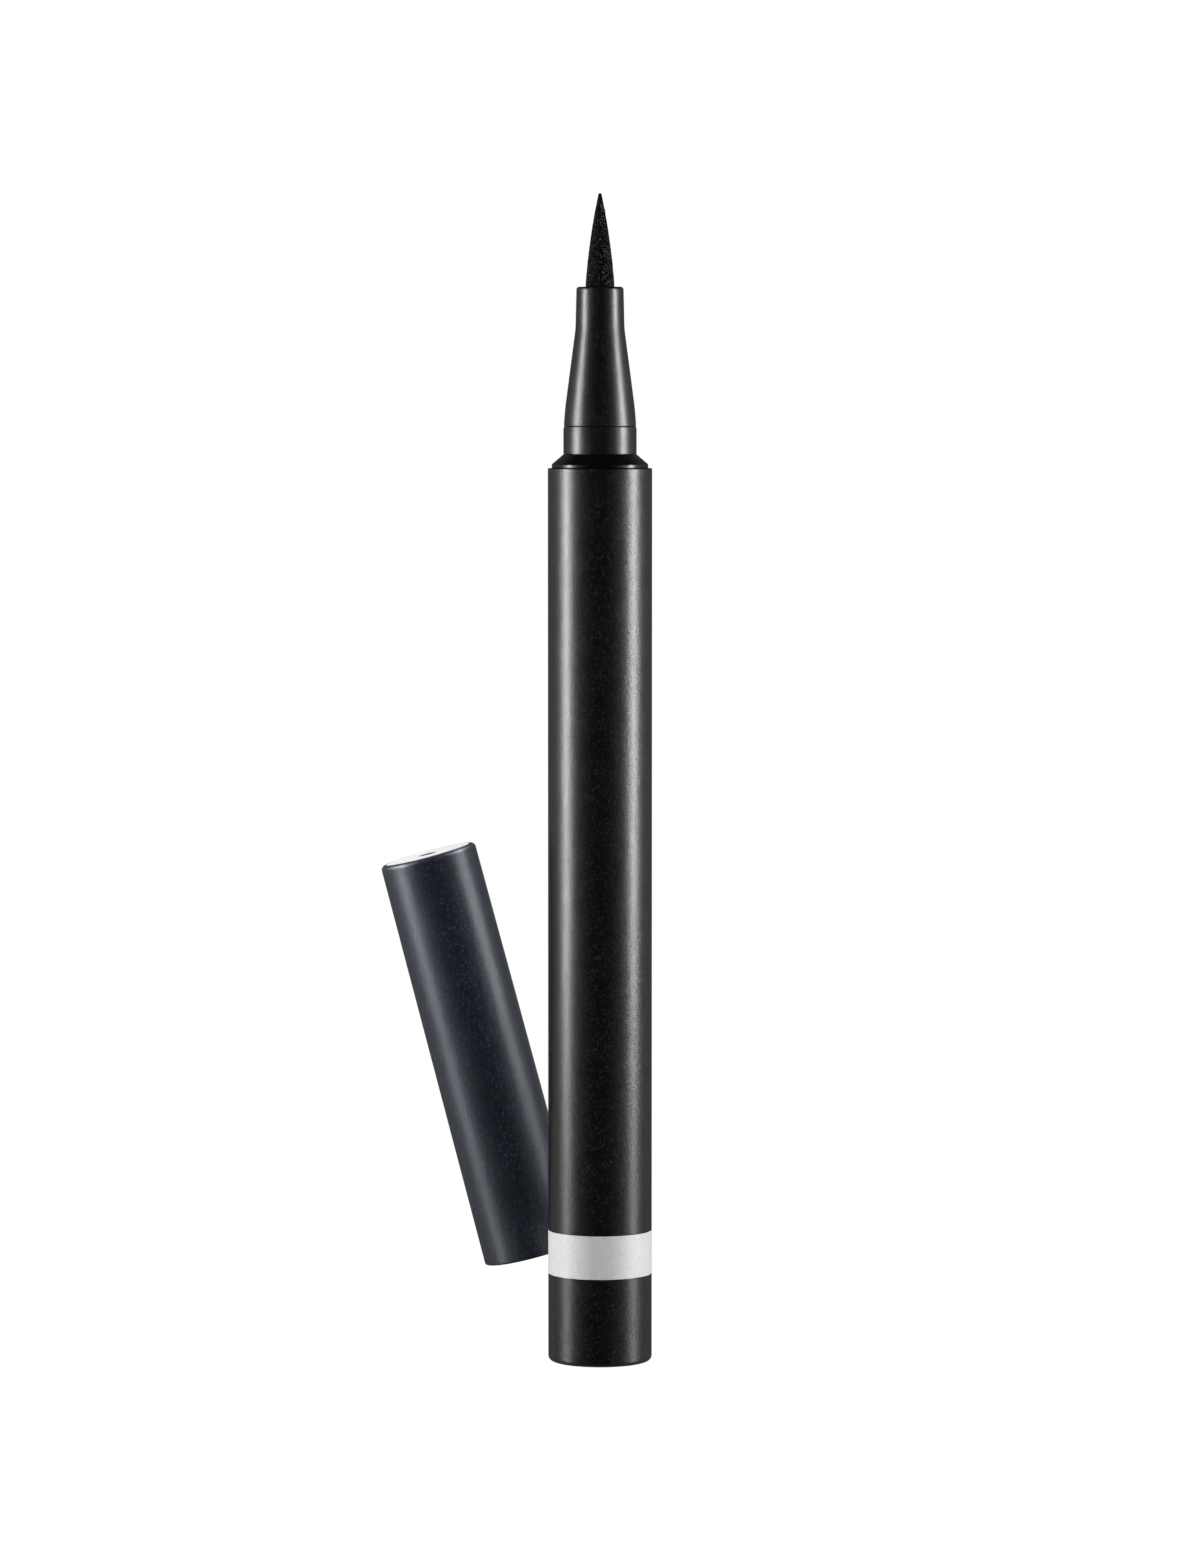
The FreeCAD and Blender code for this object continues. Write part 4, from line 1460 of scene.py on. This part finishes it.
@dataclass(frozen=True)
class Lamp:
    """A soft rectangular lamp that looks at a point above the tail, or below it.

    Bearings are degrees round the pen, with 0 on the camera's side. Lengths are metres and power is watts.
    """

    name: str
    bearing: float
    distance: float
    height: float
    width: float
    tall: float
    power: float
    aim: float
    mirrored: bool = True
    lit: tuple[str, ...] = ()

    def build(self) -> None:
        """Add the lamp to the scene; one with pieces to light reaches those alone and casts no shadow."""
        data = bpy.data.lights.new(self.name, "AREA")
        data.shape, data.size, data.size_y, data.energy = "RECTANGLE", self.width, self.tall, self.power
        lamp = bpy.data.objects.new(self.name, data)
        angle = math.radians(self.bearing)
        lamp.location = (math.sin(angle) * self.distance, -math.cos(angle) * self.distance, self.height)
        lamp.rotation_euler = (Vector((0, 0, self.aim)) - lamp.location).to_track_quat("-Z", "Y").to_euler()
        lamp.visible_glossy = self.mirrored
        bpy.context.scene.collection.objects.link(lamp)
        if self.lit:
            data.use_shadow = False
            data.cycles.use_multiple_importance_sampling = False
            receivers = bpy.data.collections.new(self.name + "_lit")
            for piece in self.lit:
                receivers.objects.link(bpy.data.objects[piece])
            lamp.light_linking.receiver_collection = receivers


@dataclass(frozen=True)
class Studio:
    """Paper room in millimetres; the paper's fibre, the lamps and the camera in metres."""

    lens: float = 143.15
    sensor: float = 36.0
    camera_distance: float = 0.6546
    camera_height: float = 0.10647
    camera_dip: float = 3.8984
    room_radius: float = 1500.0
    room_top: float = 1800.0
    room_cove: float = 400.0
    room_steps: int = 16
    room_columns: int = 64
    paper_dark: Colour = (0.012, 0.012, 0.012)
    paper_light: Colour = (0.016, 0.016, 0.016)
    paper_fibre: float = 0.025
    paper_roughness: float = 0.9
    paper_glow: float = 1.0
    clip: tuple[float, float] = (0.01, 20.0)
    overhead: tuple[float, float] = (0.75, 0.3)
    overhead_share: float = 0.08
    tones: tuple[tuple[float, float], ...] = (
        (0.0, 0.0), (0.04, 0.02), (0.1, 0.09), (0.2, 0.12), (0.5, 0.2), (0.8, 0.3), (0.95, 0.12), (1.0, 0.03))
    lamps: tuple[Lamp, ...] = (
        Lamp("strip_left", bearing=-79, distance=0.16, height=0.0922, width=0.0272, tall=0.1335,
             power=0.439, aim=0.0922),
        Lamp("strip_left_low", bearing=-79, distance=0.16, height=-0.0298, width=0.0272, tall=0.1105,
             power=0.08, aim=-0.0298),
        Lamp("strip_right", bearing=79, distance=0.16, height=0.0922, width=0.0272, tall=0.1335,
             power=0.439, aim=0.0922),
        Lamp("strip_right_low", bearing=79, distance=0.16, height=-0.0298, width=0.0272, tall=0.1105,
             power=0.08, aim=-0.0298),
        Lamp("top_soft", bearing=0, distance=0.1, height=1.3, width=1.4, tall=1.4,
             power=8.0, aim=0.0, mirrored=False),
        Lamp("front_soft", bearing=0, distance=0.8, height=0.5, width=0.6, tall=0.6,
             power=3.6, aim=0.05, mirrored=False),
        Lamp("cap_strip_left", bearing=-81, distance=0.25, height=0.02, width=0.09, tall=0.1,
             power=0.05, aim=0.03, lit=CAP_ALONE),
        Lamp("cap_strip_right", bearing=83, distance=0.25, height=0.13, width=0.055, tall=0.1,
             power=0.46, aim=0.03, lit=CAP_ALONE),
        Lamp("cap_glint_left", bearing=-98, distance=0.249, height=0.151, width=0.03, tall=0.02,
             power=0.7, aim=0.05, lit=CAP_ALONE),
        Lamp("cap_glint_right", bearing=102, distance=0.139, height=0.255, width=0.03, tall=0.02,
             power=1.1, aim=0.05, lit=CAP_ALONE),
        Lamp("cap_soft", bearing=8, distance=0.085, height=0.09, width=0.03, tall=0.03,
             power=0.12, aim=0.05, mirrored=False, lit=CAP_ALONE),
    )

    def build(self) -> None:
        """Build the paper room, the lamps, the dim surroundings and the camera."""
        self.paper_room()
        for lamp in self.lamps:
            lamp.build()
        self.surroundings()
        self.camera()

    def paper_room(self) -> None:
        """Set the pen in a round paper room: roof, wall and floor turned about the pen, with coved corners.

        The outline runs from the roof down to the floor, so the paper faces inwards. It is lit from within
        and is neither mirrored nor shaded, so it stays an even pale ground from every side.
        """
        outline = [Corner(0, self.room_top), Corner(self.room_radius, self.room_top, self.room_cove),
                   Corner(self.room_radius, -SEAT_GAP, self.room_cove), Corner(0, -SEAT_GAP)]
        grid = turned(rounded_outline(outline, Ends.POLES, self.room_steps), self.room_columns)
        room = grid_object("studio_sweep", grid, Ends.POLES)
        sheet = FinishSheet("studio_paper")
        fibre = sheet.noise(sheet.place, self.paper_fibre)
        sheet.feed(Base_Color=sheet.tones(fibre, self.paper_dark, self.paper_light))
        sheet.set(Roughness=self.paper_roughness, Specular_IOR_Level=0.0)
        sheet.set(Emission_Color=(1, 1, 1, 1), Emission_Strength=self.paper_glow)
        room.data.materials.append(sheet.material)
        room.visible_glossy = False
        room.visible_diffuse = False
        room.visible_shadow = False

    def surroundings(self) -> None:
        """Set dim surroundings, darker towards the camera, straight behind the pen and overhead.

        The tones run from the camera's side to the far side. They fall to the overhead share as the height
        of a direction rises from the second overhead value to the first.
        """
        world = bpy.data.worlds.new("studio_world")
        world.use_nodes = True
        bpy.context.scene.world = world
        sheet = NodeSheet(world.node_tree)
        split = sheet.add("ShaderNodeSeparateXYZ")
        sheet.join(sheet.direction, split.inputs["Vector"])
        depth = sheet.carried(split.outputs["Y"], -1, 1, 0, 1)
        background = world.node_tree.nodes["Background"]
        tones = sheet.ramp(depth, [(place, (tone,) * 3) for place, tone in self.tones])
        strength = sheet.carried(split.outputs["Z"], *self.overhead, self.overhead_share, 1)
        sheet.join(tones, background.inputs["Color"])
        sheet.join(strength, background.inputs["Strength"])

    def camera(self) -> None:
        """Set the camera in front of the pen, a little above its middle and looking slightly down."""
        data = bpy.data.cameras.new("studio_camera")
        data.lens, data.sensor_width = self.lens, self.sensor
        data.clip_start, data.clip_end = self.clip
        camera = bpy.data.objects.new("studio_camera", data)
        camera.location = (0, -self.camera_distance, self.camera_height)
        camera.rotation_euler = (math.radians(90 - self.camera_dip), 0, 0)
        bpy.context.scene.collection.objects.link(camera)
        bpy.context.scene.camera = camera
        bpy.context.scene.view_settings.view_transform = "Standard"


def main() -> None:
    """Load the frame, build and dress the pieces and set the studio."""
    logging.basicConfig(level=logging.INFO, format="%(name)s %(message)s")
    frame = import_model()
    palette = Palette()
    barrel = Barrel()
    front = FrontEnd(barrel)
    room = CapRoom(barrel)
    for assembly in (barrel, front, Cap(room, front), InnerCap(room)):
        for piece in assembly.dress(palette):
            faces = len(piece.shape.data.polygons)
            LOG.info("%s: %d faces, %s, on %s", piece.shape.name, faces, piece.slot.value, piece.body.value)
    for node in Reservoir(frame["nodes"]).dress(palette):
        LOG.info("%s: node kept, finish %s", node.name, node.material_slots[0].material.name)
    Studio().build()
    bpy.context.view_layer.update()


if __name__ == "__main__":
    main()
